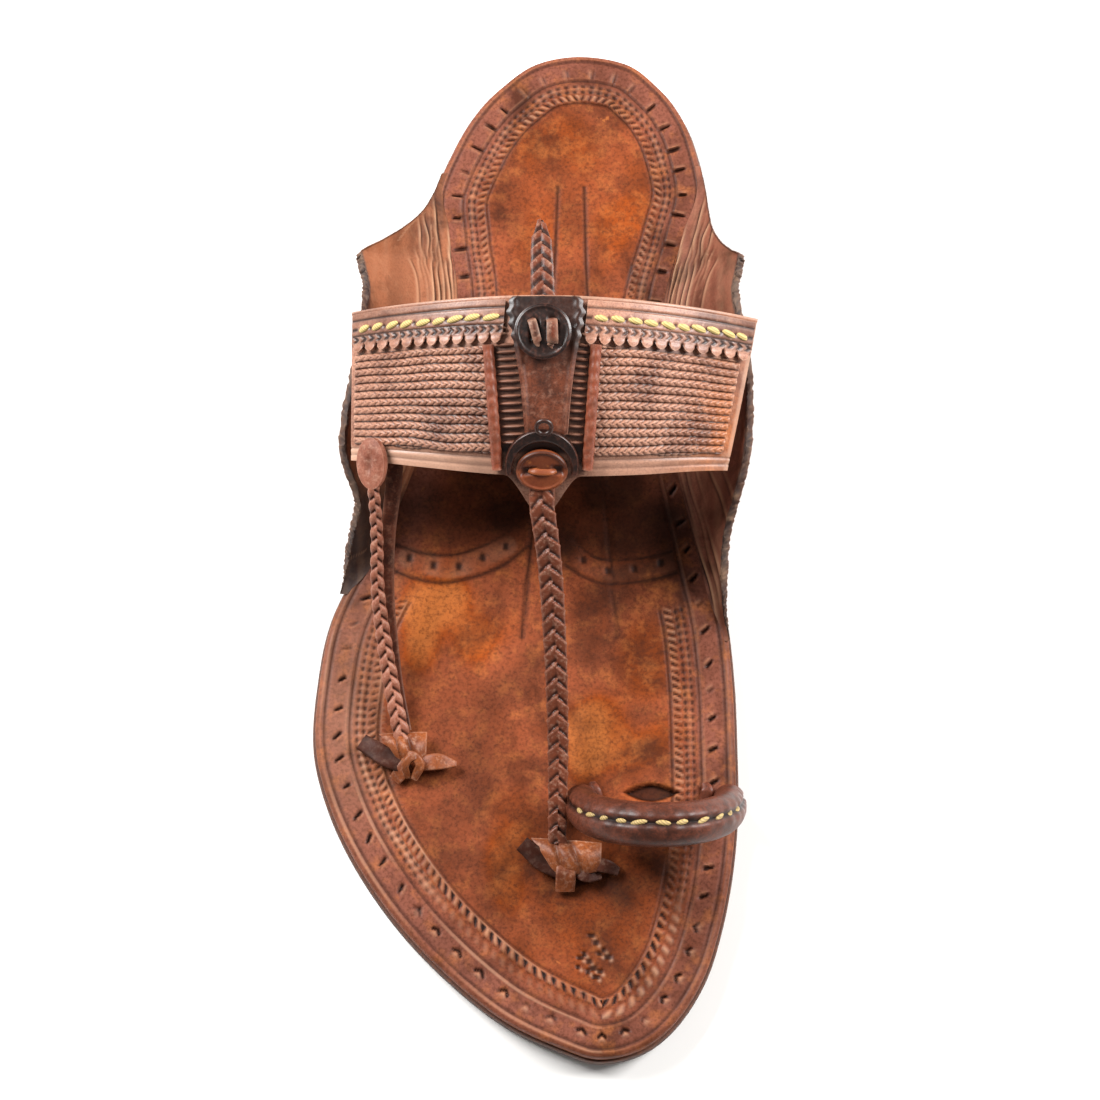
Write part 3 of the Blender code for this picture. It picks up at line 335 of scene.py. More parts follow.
class ChappalLeathers(bpy.types.PropertyGroup):
    """Colours of the leathers, the thread and the floor."""
    insole_rim: colour("Insole rim", "Redder border of the insole", "7A4636")
    insole_tan: colour("Insole tan", "Burnished middle of the insole", "904010")
    insole_burnt: colour("Insole burnt", "Dark dye clouds of the insole", "3C1A0B")
    insole_light: colour("Insole light", "Rubbed high spots of the insole", "BC6E36")
    insole_bare: colour("Bare insole", "Dry leather where the stamped border is rubbed", "C09478")
    knot_tan: colour("Knot tan", "Lit strap ends of the knots", "8C4C28")
    edge_brown: colour("Edge brown", "Dressed edges of the sole", "3A231C")
    ear_brown: colour("Ear brown", "Inner face of the lateral ear", "9C5F40")
    ear_red: colour("Ear red", "Inner face of the medial ear", "8E5440")
    ear_light: colour("Ear light", "Rubbed wrinkles of the ears", "D0A380")
    # The raw ear colour is also painted over the front of the lateral ear as shade from the band
    ear_raw_and_shade: colour("Ear raw", "Cut edges and flesh side of the ears", "4E4441")
    band_tan: colour("Band tan", "Plaited panels", "B07C64")
    band_light: colour("Band light", "Rubbed plaits and scallops", "CAA188")
    band_orange: colour("Band orange", "Warm wax at the medial end of the band", "B0622C")
    trim_red: colour("Trim red", "Tab and toe ring", "5A2D1D")
    tab_red: colour("Tab red", "Centre tab", "6C3824")
    piping_red: colour("Piping red", "Rolled pipings", "84412A")
    dark_brown: colour("Dark brown", "Rear button and half-moon", "22120D")
    plait_brown: colour("Plait brown", "Plaits and knots", "6F3925")
    button_brown: colour("Button brown", "Thongs of the buttons and the knots", "622B18")
    button_tan: colour("Button tan", "Front button", "7C3E22")
    button_rose: colour("Button rose", "Side button", "965E4A")
    thread: colour("Thread", "Waxed yellow thread", "DABF78")
    ring_thread: colour("Ring thread", "Older thread of the toe ring", "BDA066")
    floor: colour("Floor", "Plain pale floor", "F4F2EF")


class ChappalSizes(bpy.types.PropertyGroup):
    """Spacing of the handwork."""
    slit_pitch: length("Slit pitch", "Spacing of the thong slits round the insole", 8.3)
    stamp_pitch: length("Stamp pitch", "Spacing of the stamped beads round the insole", 2.05)
    braid_pitch: length("Braid pitch", "Length of one chevron in the plaited rows", 2.4)
    stitch_pitch: length("Stitch pitch", "Spacing of the yellow stitches on the collar", 4.5)


class ChappalStage(bpy.types.PropertyGroup):
    """Camera and light."""
    tilt: FloatProperty(
        name="Camera tilt", description="Lean of the camera from straight above, toward the toe",
        subtype="ANGLE", default=math.radians(16.0))
    distance: length("Camera distance", "From the camera to the middle of the shoe", 1000.0)
    key_power: FloatProperty(
        name="Key power", description="Soft box on the left", subtype="POWER", default=30.0)
    fill_power: FloatProperty(
        name="Fill power", description="Soft box on the right", subtype="POWER", default=28.0)


def curve_through(stations, values):
    """A smooth function through the values, with each slope taken from its neighbours."""
    knots, heights = np.array(stations, float), np.array(values, float)
    if knots[0] > knots[-1]:
        knots, heights = knots[::-1], heights[::-1]
    slopes = np.gradient(heights, knots)

    def at(position):
        position = np.asarray(position, float)
        i = np.clip(np.searchsorted(knots, position) - 1, 0, len(knots) - 2)
        span = knots[i + 1] - knots[i]
        t = np.clip((position - knots[i]) / span, 0.0, 1.0)
        start = (1 + 2 * t) * (1 - t) ** 2 * heights[i] + t * (1 - t) ** 2 * span * slopes[i]
        end = t * t * (3 - 2 * t) * heights[i + 1] + t * t * (t - 1) * span * slopes[i + 1]
        beyond = position - np.clip(position, knots[0], knots[-1])
        return start + end + beyond * np.where(beyond < 0, slopes[0], slopes[-1])

    return at


def smooth_step(t):
    """Zero up to 0, one from 1 on, with soft ends between."""
    t = np.clip(t, 0.0, 1.0)
    return t * t * (3 - 2 * t)


def column(table, index):
    """One column of a table."""
    return [row[index] for row in table]


def unit(vectors):
    """Vectors brought to length one."""
    return vectors / np.linalg.norm(vectors, axis=-1, keepdims=True)


def bell(distance, width, power=2):
    """One at no distance, falling off smoothly past a width; a higher power has a flatter top."""
    return np.exp(-(distance / width) ** power)


def run_along(points):
    """Distance of each point from the first, along the line through them."""
    return np.concatenate(([0.0], np.cumsum(np.linalg.norm(np.diff(points, axis=0), axis=1))))


def resample(points, count):
    """Points spaced evenly by length along a smooth curve through the given ones."""
    given = np.array(points, float)
    marks = np.arange(len(given))
    fine_marks = np.linspace(0, len(given) - 1, 60 * len(given))
    fine = np.stack([curve_through(marks, row)(fine_marks) for row in given.T], axis=1)
    run = run_along(fine)
    goals = np.linspace(0.0, run[-1], count)
    return np.stack([np.interp(goals, run, row) for row in fine.T], axis=1)


def path_length(points):
    """Length of the smooth curve through the points."""
    return float(run_along(resample(points, 200))[-1])


def soft_noise(x, y, seed):
    """A smooth irregular field from a few crossed waves, about -1 to 1."""
    dice = np.random.default_rng(seed)
    total = 0.0
    for _ in range(7):
        heading, phase = dice.uniform(0, 2 * math.pi), dice.uniform(0, 2 * math.pi)
        pace = dice.uniform(0.6, 1.8)
        total = total + np.sin(pace * (x * math.cos(heading) + y * math.sin(heading)) + phase)
    return total / 4.0


# Mesh helpers

def only(piece):
    """Select one object alone and make it active."""
    bpy.ops.object.select_all(action="DESELECT")
    piece.select_set(True)
    bpy.context.view_layer.objects.active = piece


def set_points(piece, points):
    """Move a mesh's points to places given in millimetres on the last's axis."""
    placed = (np.asarray(points, float) + (AXIS_X, 0.0, 0.0)) * MM
    piece.data.vertices.foreach_set("co", placed.ravel())
    piece.data.update()


def stretched_grid(name, columns, rows, place):
    """A grid primitive whose points go where place(u, v) puts them, with u and v from 0 to 1.

    place gives the points in millimetres and, by name, the marks to keep at them for the material.
    """
    bpy.ops.object.select_all(action="DESELECT")
    bpy.ops.mesh.primitive_grid_add(x_subdivisions=columns, y_subdivisions=rows, size=2.0)
    piece = bpy.context.object
    piece.name = piece.data.name = name
    flat = np.empty(3 * len(piece.data.vertices))
    piece.data.vertices.foreach_get("co", flat)
    grid = (flat.reshape(-1, 3) + 1) / 2
    points, marks = place(grid[:, 0], grid[:, 1])
    set_points(piece, points)
    for key, values in marks.items():
        mark(piece, key, values)
    return piece


def mark(piece, name, values):
    """Keep one number for each point of a mesh, for its material."""
    layer = piece.data.attributes.new(name, "FLOAT", "POINT")
    layer.data.foreach_set("value", np.ascontiguousarray(values, np.float32))


def close(piece):
    """Merge the seam and the poles, fill what is open and turn the faces outward."""
    only(piece)
    bpy.ops.object.mode_set(mode="EDIT")
    bpy.ops.mesh.select_all(action="SELECT")
    bpy.ops.mesh.remove_doubles(threshold=MERGE)
    bpy.ops.mesh.fill_holes(sides=0)
    bpy.ops.mesh.select_all(action="SELECT")
    bpy.ops.mesh.normals_make_consistent(inside=False)
    bpy.ops.object.mode_set(mode="OBJECT")


def join(pieces, name):
    """Make one object of several."""
    bpy.ops.object.select_all(action="DESELECT")
    for piece in pieces:
        piece.select_set(True)
    bpy.context.view_layer.objects.active = pieces[0]
    bpy.ops.object.join()
    pieces[0].name = pieces[0].data.name = name
    return pieces[0]


def modify(piece, kind, **settings):
    """Add a modifier with its settings and apply it."""
    only(piece)
    modifier = piece.modifiers.new(kind.title(), kind)
    for key, value in settings.items():
        setattr(modifier, key, value)
    bpy.ops.object.modifier_apply(modifier=modifier.name)


def wall(piece, thickness, bevel):
    """Give a sheet its thickness below its face, with softened edges."""
    modify(piece, "SOLIDIFY", thickness=thickness * MM, offset=-1.0)
    modify(piece, "BEVEL", width=bevel * MM, segments=3, limit_method="ANGLE", angle_limit=SMOOTH_ANGLE)


def hand_over(piece, material, slot, *nodes):
    """Finish a piece: its material, its shading, its body and the nodes that it stands for."""
    piece.data.materials.clear()
    piece.data.materials.append(material)
    only(piece)
    bpy.ops.object.shade_smooth_by_angle(angle=SMOOTH_ANGLE)
    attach(piece, "root")
    if nodes:
        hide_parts(*nodes)
    piece.select_set(False)


def lobe_mesh(segments, rings):
    """One leaf-shaped lobe of a plait: long in x, rounded on top, with ends that dive."""
    bpy.ops.object.select_all(action="DESELECT")
    bpy.ops.mesh.primitive_uv_sphere_add(segments=segments, ring_count=rings, radius=1.0)
    sphere = bpy.context.object
    points = np.array([v.co for v in sphere.data.vertices])[:, [2, 0, 1]]
    faces = [tuple(face.vertices) for face in sphere.data.polygons]
    bpy.data.objects.remove(sphere, do_unlink=True)
    points[:, 2] -= 0.45 * points[:, 0] ** 2
    return points, faces


def scatter(name, shape, places):
    """One mesh of many copies of a shape; a place is a centre and three scaled axes."""
    points, faces = shape
    spots = np.concatenate([centre + points @ np.array(axes) for centre, axes in places])
    every = [tuple(i + k * len(points) for i in face) for k in range(len(places)) for face in faces]
    mesh = bpy.data.meshes.new(name)
    mesh.from_pydata(spots.tolist(), [], every)
    piece = bpy.data.objects.new(name, mesh)
    bpy.context.scene.collection.objects.link(piece)
    set_points(piece, spots)
    only(piece)
    bpy.ops.object.mode_set(mode="EDIT")
    bpy.ops.mesh.select_all(action="SELECT")
    bpy.ops.mesh.normals_make_consistent(inside=False)
    bpy.ops.object.mode_set(mode="OBJECT")
    return piece


def sweep(name, path, half_widths, half_heights, stations=80, sides=24, square=2.0, up=None, relief=None):
    """A closed tube along a path, oval or squarish, whose two size lists run from its start to its end.

    relief(run, aside, angle) gives an outward shift in millimetres and a darkness for each point.
    """
    line = resample(path, stations)
    way = unit(np.gradient(line, axis=0))
    if up is None:
        side = unit(np.cross(way, (0.0, 0.0, 1.0)))
    else:
        side = unit(np.cross(way, resample(up, stations)))
    top = np.cross(side, way)
    shares, total = np.linspace(0, 1, stations), path_length(path)
    wide, high = (
        curve_through(np.linspace(0, 1, len(sizes)), sizes)(shares) for sizes in (half_widths, half_heights))

    def place(u, v):
        i = np.rint(u * (stations - 1)).astype(int)
        angle = 2 * math.pi * v
        cosine, sine = np.cos(angle), np.sin(angle)
        swell = (np.abs(cosine) ** square + np.abs(sine) ** square) ** (-1 / square)
        aside, rise = wide[i] * swell * cosine, high[i] * swell * sine
        shift, dark = relief(u * total, aside, angle) if relief else (0 * u, 0 * u)
        out = unit((cosine / wide[i])[:, None] * side[i] + (sine / high[i])[:, None] * top[i])
        points = line[i] + aside[:, None] * side[i] + rise[:, None] * top[i] + shift[:, None] * out
        return points, {"wax_and_shade": dark}

    piece = stretched_grid(name, stations - 1, sides, place)
    close(piece)
    return piece


# Materials

def add_node(tree, kind, inputs=None, **settings):
    """A node with its settings; an input takes a constant, or the socket that it is linked from."""
    node = tree.nodes.new(kind)
    for key, value in settings.items():
        setattr(node, key, value)
    for key, value in (inputs or {}).items():
        if isinstance(value, bpy.types.NodeSocket):
            tree.links.new(value, node.inputs[key])
        else:
            node.inputs[key].default_value = value
    return node


def leather(name, dark, middle, light, centre=None, bare=None, cloud=14.0, grain=0.6, roughness=0.45,
            shine=0.35, coat=0.1, depth=0.06, wear=1.0, speckle=0.6, flecks=0.4):
    """Vegetable-tanned leather, dyed by hand and waxed.

    It gives the eye cloudy dye, dark wax left in every groove, rubbed light edges, fine pores and a soft
    gloss. The cloud and grain sizes and the depth of the pores are in millimetres. With a centre colour, the
    piece's burnish mark leads from the middle colour to that one, and past one to the light colour. With a
    bare colour, its rubbed mark leads to the dry leather under the wax. The mark that leads to the wax colour
    carries both dark wax in tooled work and painted shade in cuts, holes, furrows, folds and under other parts.
    """
    material = bpy.data.materials.new(name)
    material.use_nodes = True
    tree = material.node_tree
    shader = tree.nodes["Principled BSDF"]
    place = add_node(tree, "ShaderNodeTexCoord").outputs["Object"]
    patterns = []
    for size, detail, rough, bend in (
            (cloud, 6.0, 0.62, 0.5), (cloud / 5, 4.0, 0.6, 0.0), (grain, 4.0, 0.65, 0.0)):
        noise = add_node(tree, "ShaderNodeTexNoise", {
            "Vector": place, "Scale": 1 / (size * MM), "Detail": detail, "Roughness": rough,
            "Distortion": bend})
        patterns.append(noise.outputs["Fac"])
    dye, fleck, pores = patterns
    pointed = add_node(tree, "ShaderNodeNewGeometry").outputs["Pointiness"]
    wax = darker(dark, 0.22)
    # Layers from the hide up: a pattern or the name of a mark, its values at none and at full, share, colour
    layers = [
        (dye, 0.46, 0.68, 0.85, dark),
        (fleck, 0.50, 0.75, flecks, light),
        (pores, 0.44, 0.68, speckle, dark),
        (pointed, 0.515, 0.60, 0.45 * wear, light),
        (pointed, 0.495, 0.42, 0.75 * wear, wax),
        # The last layer takes the piece's mark toward the wax colour: dark wax, and painted shade
        ("wax_and_shade", 0.0, 1.0, 1.0, wax),
    ]
    if centre is not None:
        layers[:0] = [("burnish", 0.0, 1.0, 1.0, centre), ("burnish", 1.0, 2.0, 1.0, light)]
    if bare is not None:
        layers.insert(-2, ("rubbed", 0.0, 1.0, 1.0, bare))
    tone = list(middle)
    for source, none, full, share, tint in layers:
        if isinstance(source, str):
            source = add_node(tree, "ShaderNodeAttribute", attribute_name=source).outputs["Fac"]
        amount = add_node(tree, "ShaderNodeMapRange", {
            "Value": source, "From Min": none, "From Max": full, "To Max": share})
        mixed = add_node(tree, "ShaderNodeMix", {
            0: amount.outputs[0], 6: tone, 7: list(tint)}, data_type="RGBA")
        tone = mixed.outputs[2]
    gloss = add_node(tree, "ShaderNodeMapRange", {
        "Value": fleck, "From Min": 0.3, "From Max": 0.7,
        "To Min": roughness - 0.08, "To Max": roughness + 0.14})
    bump = add_node(tree, "ShaderNodeBump", {"Height": pores, "Strength": 0.8, "Distance": depth * MM})
    tree.links.new(tone, shader.inputs["Base Color"])
    tree.links.new(gloss.outputs[0], shader.inputs["Roughness"])
    tree.links.new(bump.outputs[0], shader.inputs["Normal"])
    shader.inputs["Specular IOR Level"].default_value = shine
    shader.inputs["Coat Weight"].default_value = coat
    shader.inputs["Coat Roughness"].default_value = 0.28
    return material


def twisted_thread(name, tint):
    """Waxed cotton thread: thin twisted strands, a little darker between them."""
    material = bpy.data.materials.new(name)
    material.use_nodes = True
    tree = material.node_tree
    shader = tree.nodes["Principled BSDF"]
    place = add_node(tree, "ShaderNodeTexCoord").outputs["Object"]
    strand = add_node(tree, "ShaderNodeTexWave", {
        "Vector": place, "Scale": 1 / (1.6 * MM), "Distortion": 1.5, "Detail": 2.0},
        bands_direction="DIAGONAL").outputs["Fac"]
    mixed = add_node(tree, "ShaderNodeMix", {
        0: strand, 6: darker(tint, 0.55), 7: list(tint)}, data_type="RGBA")
    bump = add_node(tree, "ShaderNodeBump", {"Height": strand, "Strength": 0.6, "Distance": 0.05 * MM})
    tree.links.new(mixed.outputs[2], shader.inputs["Base Color"])
    tree.links.new(bump.outputs[0], shader.inputs["Normal"])
    shader.inputs["Roughness"].default_value = 0.6
    return material


# Sole surfaces

def y_of(along):
    """Frame y of a distance from the back of the heel."""
    return SOLE_LENGTH / 2 - along


def along_of(y):
    """Distance from the back of the heel of a frame y."""
    return SOLE_LENGTH / 2 - y


def sole_base(along):
    """Height of the outsole's under side: up on the heel, down at the waist, up again at the toe."""
    rise = (HEEL_LIFT + LAYER_GAP) * (1 - smooth_step((along - WAIST_BACK) / (WAIST_FRONT - WAIST_BACK)))
    spring = np.maximum(0.0, (along - TOE_ROLL_START) / (SOLE_LENGTH - TOE_ROLL_START))
    return rise + TOE_SPRING * spring ** 2


def outsole_top(along):
    """Height of the outsole's upper side."""
    return sole_base(along) + OUTSOLE_THICKNESS


def insole_top(along):
    """Height of the insole's upper side, without its tooling."""
    return outsole_top(along) + LAYER_GAP + INSOLE_THICKNESS


def sole_rim():
    """The sole's outline from the heel tip down the medial side to the toe and back.

    It comes as plan points, inward directions and distances along the outline.
    """
    medial = [(row[2], y_of(row[0])) for row in SOLE_SECTIONS]
    lateral = [(row[1], y_of(row[0])) for row in SOLE_SECTIONS]
    knots = np.array([(HEEL_TIP_X, y_of(0.0))] + medial + [(TOE_TIP_X, y_of(SOLE_LENGTH))] + lateral[::-1])
    fine = []
    for i in range(len(knots)):
        a, b, c, d = (knots[(i + k) % len(knots)] for k in (-1, 0, 1, 2))
        for t in np.linspace(0, 1, 40, endpoint=False):
            bend = (2 * a - 5 * b + 4 * c - d) * t ** 2 + (3 * b - a - 3 * c + d) * t ** 3
            fine.append(b + 0.5 * ((c - a) * t + bend))
    fine = np.array(fine)
    half = len(fine) // 2
    sides = []
    for part in (fine[:half + 1], np.concatenate((fine[half:], fine[:1]))):
        run = run_along(part)
        goals = np.linspace(0.0, run[-1], HALF_STATIONS, endpoint=False)
        sides.append(np.stack([np.interp(goals, run, row) for row in part.T], axis=1))
    plan = np.concatenate(sides)
    ahead = np.roll(plan, -1, axis=0) - np.roll(plan, 1, axis=0)
    inward = unit(np.stack([ahead[:, 1], -ahead[:, 0]], axis=1))
    for _ in range(60):
        inward = unit((np.roll(inward, 1, axis=0) + 2 * inward + np.roll(inward, -1, axis=0)) / 4)
    run = np.cumsum(np.linalg.norm(plan - np.roll(plan, 1, axis=0), axis=1))
    return plan, inward, run


RIM_PLAN, RIM_INWARD, RIM_RUN = sole_rim()
RIM_COUNT = len(RIM_PLAN)
RIM_ALONG = along_of(RIM_PLAN[:, 1])
BORDER_SHARE = np.interp(RIM_ALONG, column(BORDER_WIDTHS, 0), column(BORDER_WIDTHS, 1))
BEAD_LINE = RIM_PLAN + (INSOLE_INSET + (STAMP_FRONT - BEAD_HALF) * BORDER_SHARE)[:, None] * RIM_INWARD


def stamp_count(pitch):
    """How many stamped beads lie between the heel tip and each station; they are wider apart at the toe."""
    steps = np.linalg.norm(BEAD_LINE - np.roll(BEAD_LINE, 1, axis=0), axis=1)
    count = np.cumsum(steps / (pitch * np.interp(RIM_ALONG, (225.0, 250.0), (1.0, TOE_STAMP_SHARE))))
    return count * 2 * round(count[-1] / 2) / count[-1]


def rim_point(station, inset):
    """Plan points at a station of the outline, moved inward."""
    station = station % RIM_COUNT
    return RIM_PLAN[station] + np.asarray(inset, float)[..., None] * RIM_INWARD[station]


def across_plan(u, v, inset):
    """Plan points from the lateral edge at u = 0 to the medial one, inside the outline by an inset."""
    station = np.rint(v * HALF_STATIONS).astype(int)
    left, right = rim_point(-station, inset), rim_point(station, inset)
    return left + (right - left) * u[:, None]


def sole_slab(name, rings):
    """A closed layer of the sole through rings of (inset, height function)."""
    def side(u, v):
        station = np.rint(u * RIM_COUNT).astype(int)
        ring = np.rint(v * (len(rings) - 1)).astype(int)
        plan = rim_point(station, np.array(column(rings, 0))[ring])
        heights = np.stack([height(along_of(plan[:, 1])) for height in column(rings, 1)])
        return np.column_stack((plan, heights[ring, np.arange(len(ring))])), {}

    def cap(inset, height):
        def place(u, v):
            plan = across_plan(u, v, inset)
            return np.column_stack((plan, height(along_of(plan[:, 1])))), {}
        return place

    parts = [stretched_grid(name + "_side", RIM_COUNT, len(rings) - 1, side)]
    for inset, height in (rings[0], rings[-1]):
        parts.append(stretched_grid(name + "_cap", 1, HALF_STATIONS, cap(inset, height)))
    slab = join(parts, name)
    close(slab)
    return slab


def edge_x(along, side):
    """Where the sole's edge is at a station: side is -1 on the lateral edge and 1 on the medial."""
    outline = RIM_PLAN if side > 0 else np.roll(RIM_PLAN[::-1], 1, axis=0)
    half = outline[:HALF_STATIONS + 1]
    return np.interp(along, along_of(half[:, 1]), half[:, 0])


# Instep surface

INSTEP_Y = column(INSTEP_SECTIONS, 0)
CROWN = curve_through(INSTEP_Y, column(INSTEP_SECTIONS, 1))
ENDS = curve_through(INSTEP_Y, column(INSTEP_SECTIONS, 2))
LATERAL_END = curve_through(INSTEP_Y, column(INSTEP_SECTIONS, 3))
MEDIAL_END = curve_through(INSTEP_Y, column(INSTEP_SECTIONS, 4))
REAR_EDGE = curve_through(column(BAND_EDGES, 0), column(BAND_EDGES, 1))
FRONT_EDGE = curve_through(column(BAND_EDGES, 0), column(BAND_EDGES, 2))


def instep_height(x, y):
    """Height of the band's middle surface, arched from the crown to the two ends."""
    end = np.where(x < CROWN_X, LATERAL_END(y), MEDIAL_END(y))
    share = (x - CROWN_X) / (end - CROWN_X)
    return CROWN(y) - (CROWN(y) - ENDS(y)) * share * share


def instep_frame(x, y):
    """Points of the band's middle surface with unit directions across, toward the heel and outward."""
    x, y = np.broadcast_arrays(np.asarray(x, float), np.asarray(y, float))
    step, flat = 0.05, np.zeros(x.shape)
    point = np.stack((x, y, instep_height(x, y)), axis=-1)
    rise_across = instep_height(x + step, y) - instep_height(x - step, y)
    rise_back = instep_height(x, y + step) - instep_height(x, y - step)
    across = np.stack((flat + 2 * step, flat, rise_across), axis=-1)
    back = np.stack((flat, flat + 2 * step, rise_back), axis=-1)
    return point, unit(across), unit(back), unit(np.cross(across, back))


def lift(x, y, height):
    """Points above the band's middle surface, square to it."""
    point, _, _, out = instep_frame(x, y)
    return point + np.asarray(height, float)[..., None] * out


def band_plan(share, depth):
    """Plan points of the band: share runs from lateral to medial end, depth from rear to front edge."""
    y = REAR_EDGE(share) + (FRONT_EDGE(share) - REAR_EDGE(share)) * depth
    x = LATERAL_END(y) + (MEDIAL_END(y) - LATERAL_END(y)) * share
    tongue = np.maximum(0.0, 1 - np.abs(x - CROWN_X) / TONGUE_HALF_WIDTH)
    drop = smooth_step(tongue) * smooth_step((depth - PLAIT_SPAN[1]) / (1 - PLAIT_SPAN[1]))
    return x, y - TONGUE_DEPTH * drop


# Insole tooling

def line_distance(x, y, points):
    """Distance of plan points from a smooth line."""
    line = resample(points, 40)
    nearest = np.full(len(x), 1e9)
    for (ax, ay), (bx, by) in zip(line, line[1:]):
        dx, dy = bx - ax, by - ay
        t = np.clip(((x - ax) * dx + (y - ay) * dy) / (dx * dx + dy * dy), 0.0, 1.0)
        nearest = np.minimum(nearest, np.hypot(x - ax - t * dx, y - ay - t * dy))
    return nearest


def groove(distance, width, depth):
    """Height and darkness of a tooled line."""
    dip = bell(distance, width)
    return -depth * dip, 0.55 * dip


class Border:
    """Points of the insole's border: where they lie, and how much of each kind of work is there."""
    def __init__(self, inset, station):
        self.inset, self.station = inset, station
        self.run, self.along, self.medial = RIM_RUN[station], RIM_ALONG[station], station < HALF_STATIONS
        self.heel = smooth_step((HEEL_WORK_END - self.along) / 10.0)
        self.toe = smooth_step((self.along - TOE_WORK_START) / TOE_WORK_RAMP)
        start = np.where(self.medial, MEDIAL_WORK_START, LATERAL_WORK_START)
        self.worked = np.maximum(self.heel, smooth_step((self.along - start) / 3.0))
        self.sewn = np.where(self.medial, 1.0, self.worked)
        self.wavy = soft_noise(self.run / 7.0, inset / 3.0, 41)
        self.patchy = np.clip(0.5 + 0.7 * soft_noise(self.run / 2.2, inset / 1.6, 42), 0.0, 1.0)


def edge_lines(border):
    """Height, darkness and rubbing of the three lines along the edge, each with a ridge beside it."""
    height, dark, rub = np.zeros((3, len(border.inset)))
    fresh = np.where(border.medial, 0.16, 0.55) * (1 - 0.8 * border.heel)
    fresh = fresh * np.clip(0.6 + 0.6 * border.wavy, 0.0, 1.0)
    for at, share in ((EDGE_LINE, 1.0), (SECOND_LINE, border.sewn), (THIRD_LINE, border.worked)):
        dip, stain = groove(border.inset - at, LINE_WIDTH, LINE_DEPTH)
        ridge = share * bell(border.inset - at + 0.8, 0.32)
        height, dark = height + share * dip + 0.15 * ridge, np.maximum(dark, share * stain)
        rub = np.maximum(rub, fresh * ridge)
    return height, dark, rub


def thong_slits(border, pitch):
    """Height, darkness and rubbing of the hand-cut slits, which turn to peaked notches round the toe; the slits
    and notches are painted dark as shade inside the cuts.
    """
    dice = np.random.default_rng(21)
    count = int(round(RIM_RUN[-1] / pitch)) + 1
    which = np.clip((border.run / pitch).astype(int), 0, count)
    turn, size, move, worn = (dice.uniform(-1, 1, count + 1)[which] for _ in range(4))
    far, long, lean = (np.interp(border.along, column(SLITS, 0), column(SLITS, i)) for i in (1, 2, 3))
    lean = np.radians(lean + 14 * turn * (1 - border.heel))
    step = (border.run / pitch) % 1.0 * pitch - pitch / 2 + 0.9 * move
    reach = step * np.cos(lean) + (border.inset - far) * np.sin(lean)
    aside = -step * np.sin(lean) + (border.inset - far) * np.cos(lean)
    long = long * (1 + 0.2 * size)
    wide = SLIT_WIDTH * np.clip(0.8 + 0.5 * reach / long, 0.4, 1.1)
    slit = bell(reach, long / 2, 6) * bell(aside, wide / 2, 4)
    lip = bell(reach, long / 2, 4) * bell(aside - 0.95, 0.5)
    peak = border.inset - far - 0.8 + (0.65 + 0.2 * turn) * np.abs(step)
    notch = bell(peak, 0.55) * smooth_step((1.8 + 0.3 * size - np.abs(step)) / 0.5)
    lump = bell(peak + 1.3, 0.6) * bell(step, 0.9)
    slit = border.sewn * ((1 - border.toe) * slit + border.toe * notch)
    lip = border.sewn * ((1 - border.toe) * lip + border.toe * lump)
    slit = slit * (0.4 + 0.6 * smooth_step((worn + 0.85) / 0.4))
    slit = slit * (0.3 + 0.7 * smooth_step((border.along - 8.0) / 6.0))
    # The slits' darkness is painted shade inside the cuts
    return -SLIT_DEPTH * slit + 0.25 * lip, slit, (0.15 + 0.25 * border.toe) * lip


def stamped_beads(border, stamps):
    """Height, darkness and rubbing of the beaded row, with a punched hole between two beads; the holes are
    painted dark as shade in them.
    """
    count, toe = stamps[border.station], border.toe
    from_row = border.inset - (STAMP_FRONT - BEAD_HALF)
    inward = from_row / BEAD_HALF
    slant = np.where(border.medial, STAMP_SLANT, -STAMP_SLANT)
    tilt = np.random.default_rng(22).uniform(-1, 1, int(stamps[-1]) + 2)[np.rint(count).astype(int)]
    beads = 0.5 + 0.5 * np.cos(2 * math.pi * (count + (1 + 0.5 * tilt) * slant * from_row))
    row = border.worked * smooth_step((1.0 - np.abs(inward)) / 0.4)
    # The holes' darkness is painted shade
    hole = 0.30 + 0.12 * inward + toe * (0.14 + 0.20 * inward) + 0.12 * tilt
    hole = smooth_step((hole - beads) / 0.30)
    rub = (0.38 + 0.10 * toe) * row * beads ** 2 * (0.3 + 0.7 * border.patchy)
    return row * ((0.5 + 0.3 * toe) * beads - 0.2), (0.86 + 0.12 * toe) * row * hole, rub


def stamped_scales(border, stamps):
    """Height, darkness and rubbing of the scales outside the beads, which turn to ovals round the toe."""
    count, inset, toe, patchy = stamps[border.station], border.inset, border.toe, border.patchy
    bead_at = STAMP_FRONT - BEAD_HALF
    slant = np.where(border.medial, STAMP_SLANT, -STAMP_SLANT)
    inside = border.worked * smooth_step((inset - STAMP_BACK) / 0.6)
    inside = inside * smooth_step((bead_at - BEAD_HALF - inset) / 0.5)
    turns = 2 * math.pi * (count + 0.8 * slant * (inset - bead_at))
    legs = 0.5 + 0.5 * np.cos(turns + 1.0 + 0.5 * border.wavy)
    ovals = legs ** 1.5 * bell(inset - STAMP_BACK - 1.5, 1.1, 4) * np.where(border.medial, 1.0, 0.3)
    half = 0.5 * count + 0.09 * border.wavy
    scales = np.cos(2 * math.pi * (half + inset / 4.0)) * np.cos(2 * math.pi * (half - inset / 4.0))
    height = toe * (0.5 * ovals - 0.1) + (1 - toe) * 0.30 * scales
    dark = toe * 0.25 * (1 - legs) ** 2 + (1 - toe) * 0.72 * smooth_step(-1.6 * scales)
    bare = np.where(border.medial, 0.26, 0.30 + 0.40 * (1 - border.heel))
    rub = 0.65 * toe * ovals * (0.4 + 0.6 * patchy)
    rub = rub + (1 - toe) * bare * patchy * (0.4 + 0.6 * smooth_step(scales))
    return inside * height, inside * dark, inside * rub


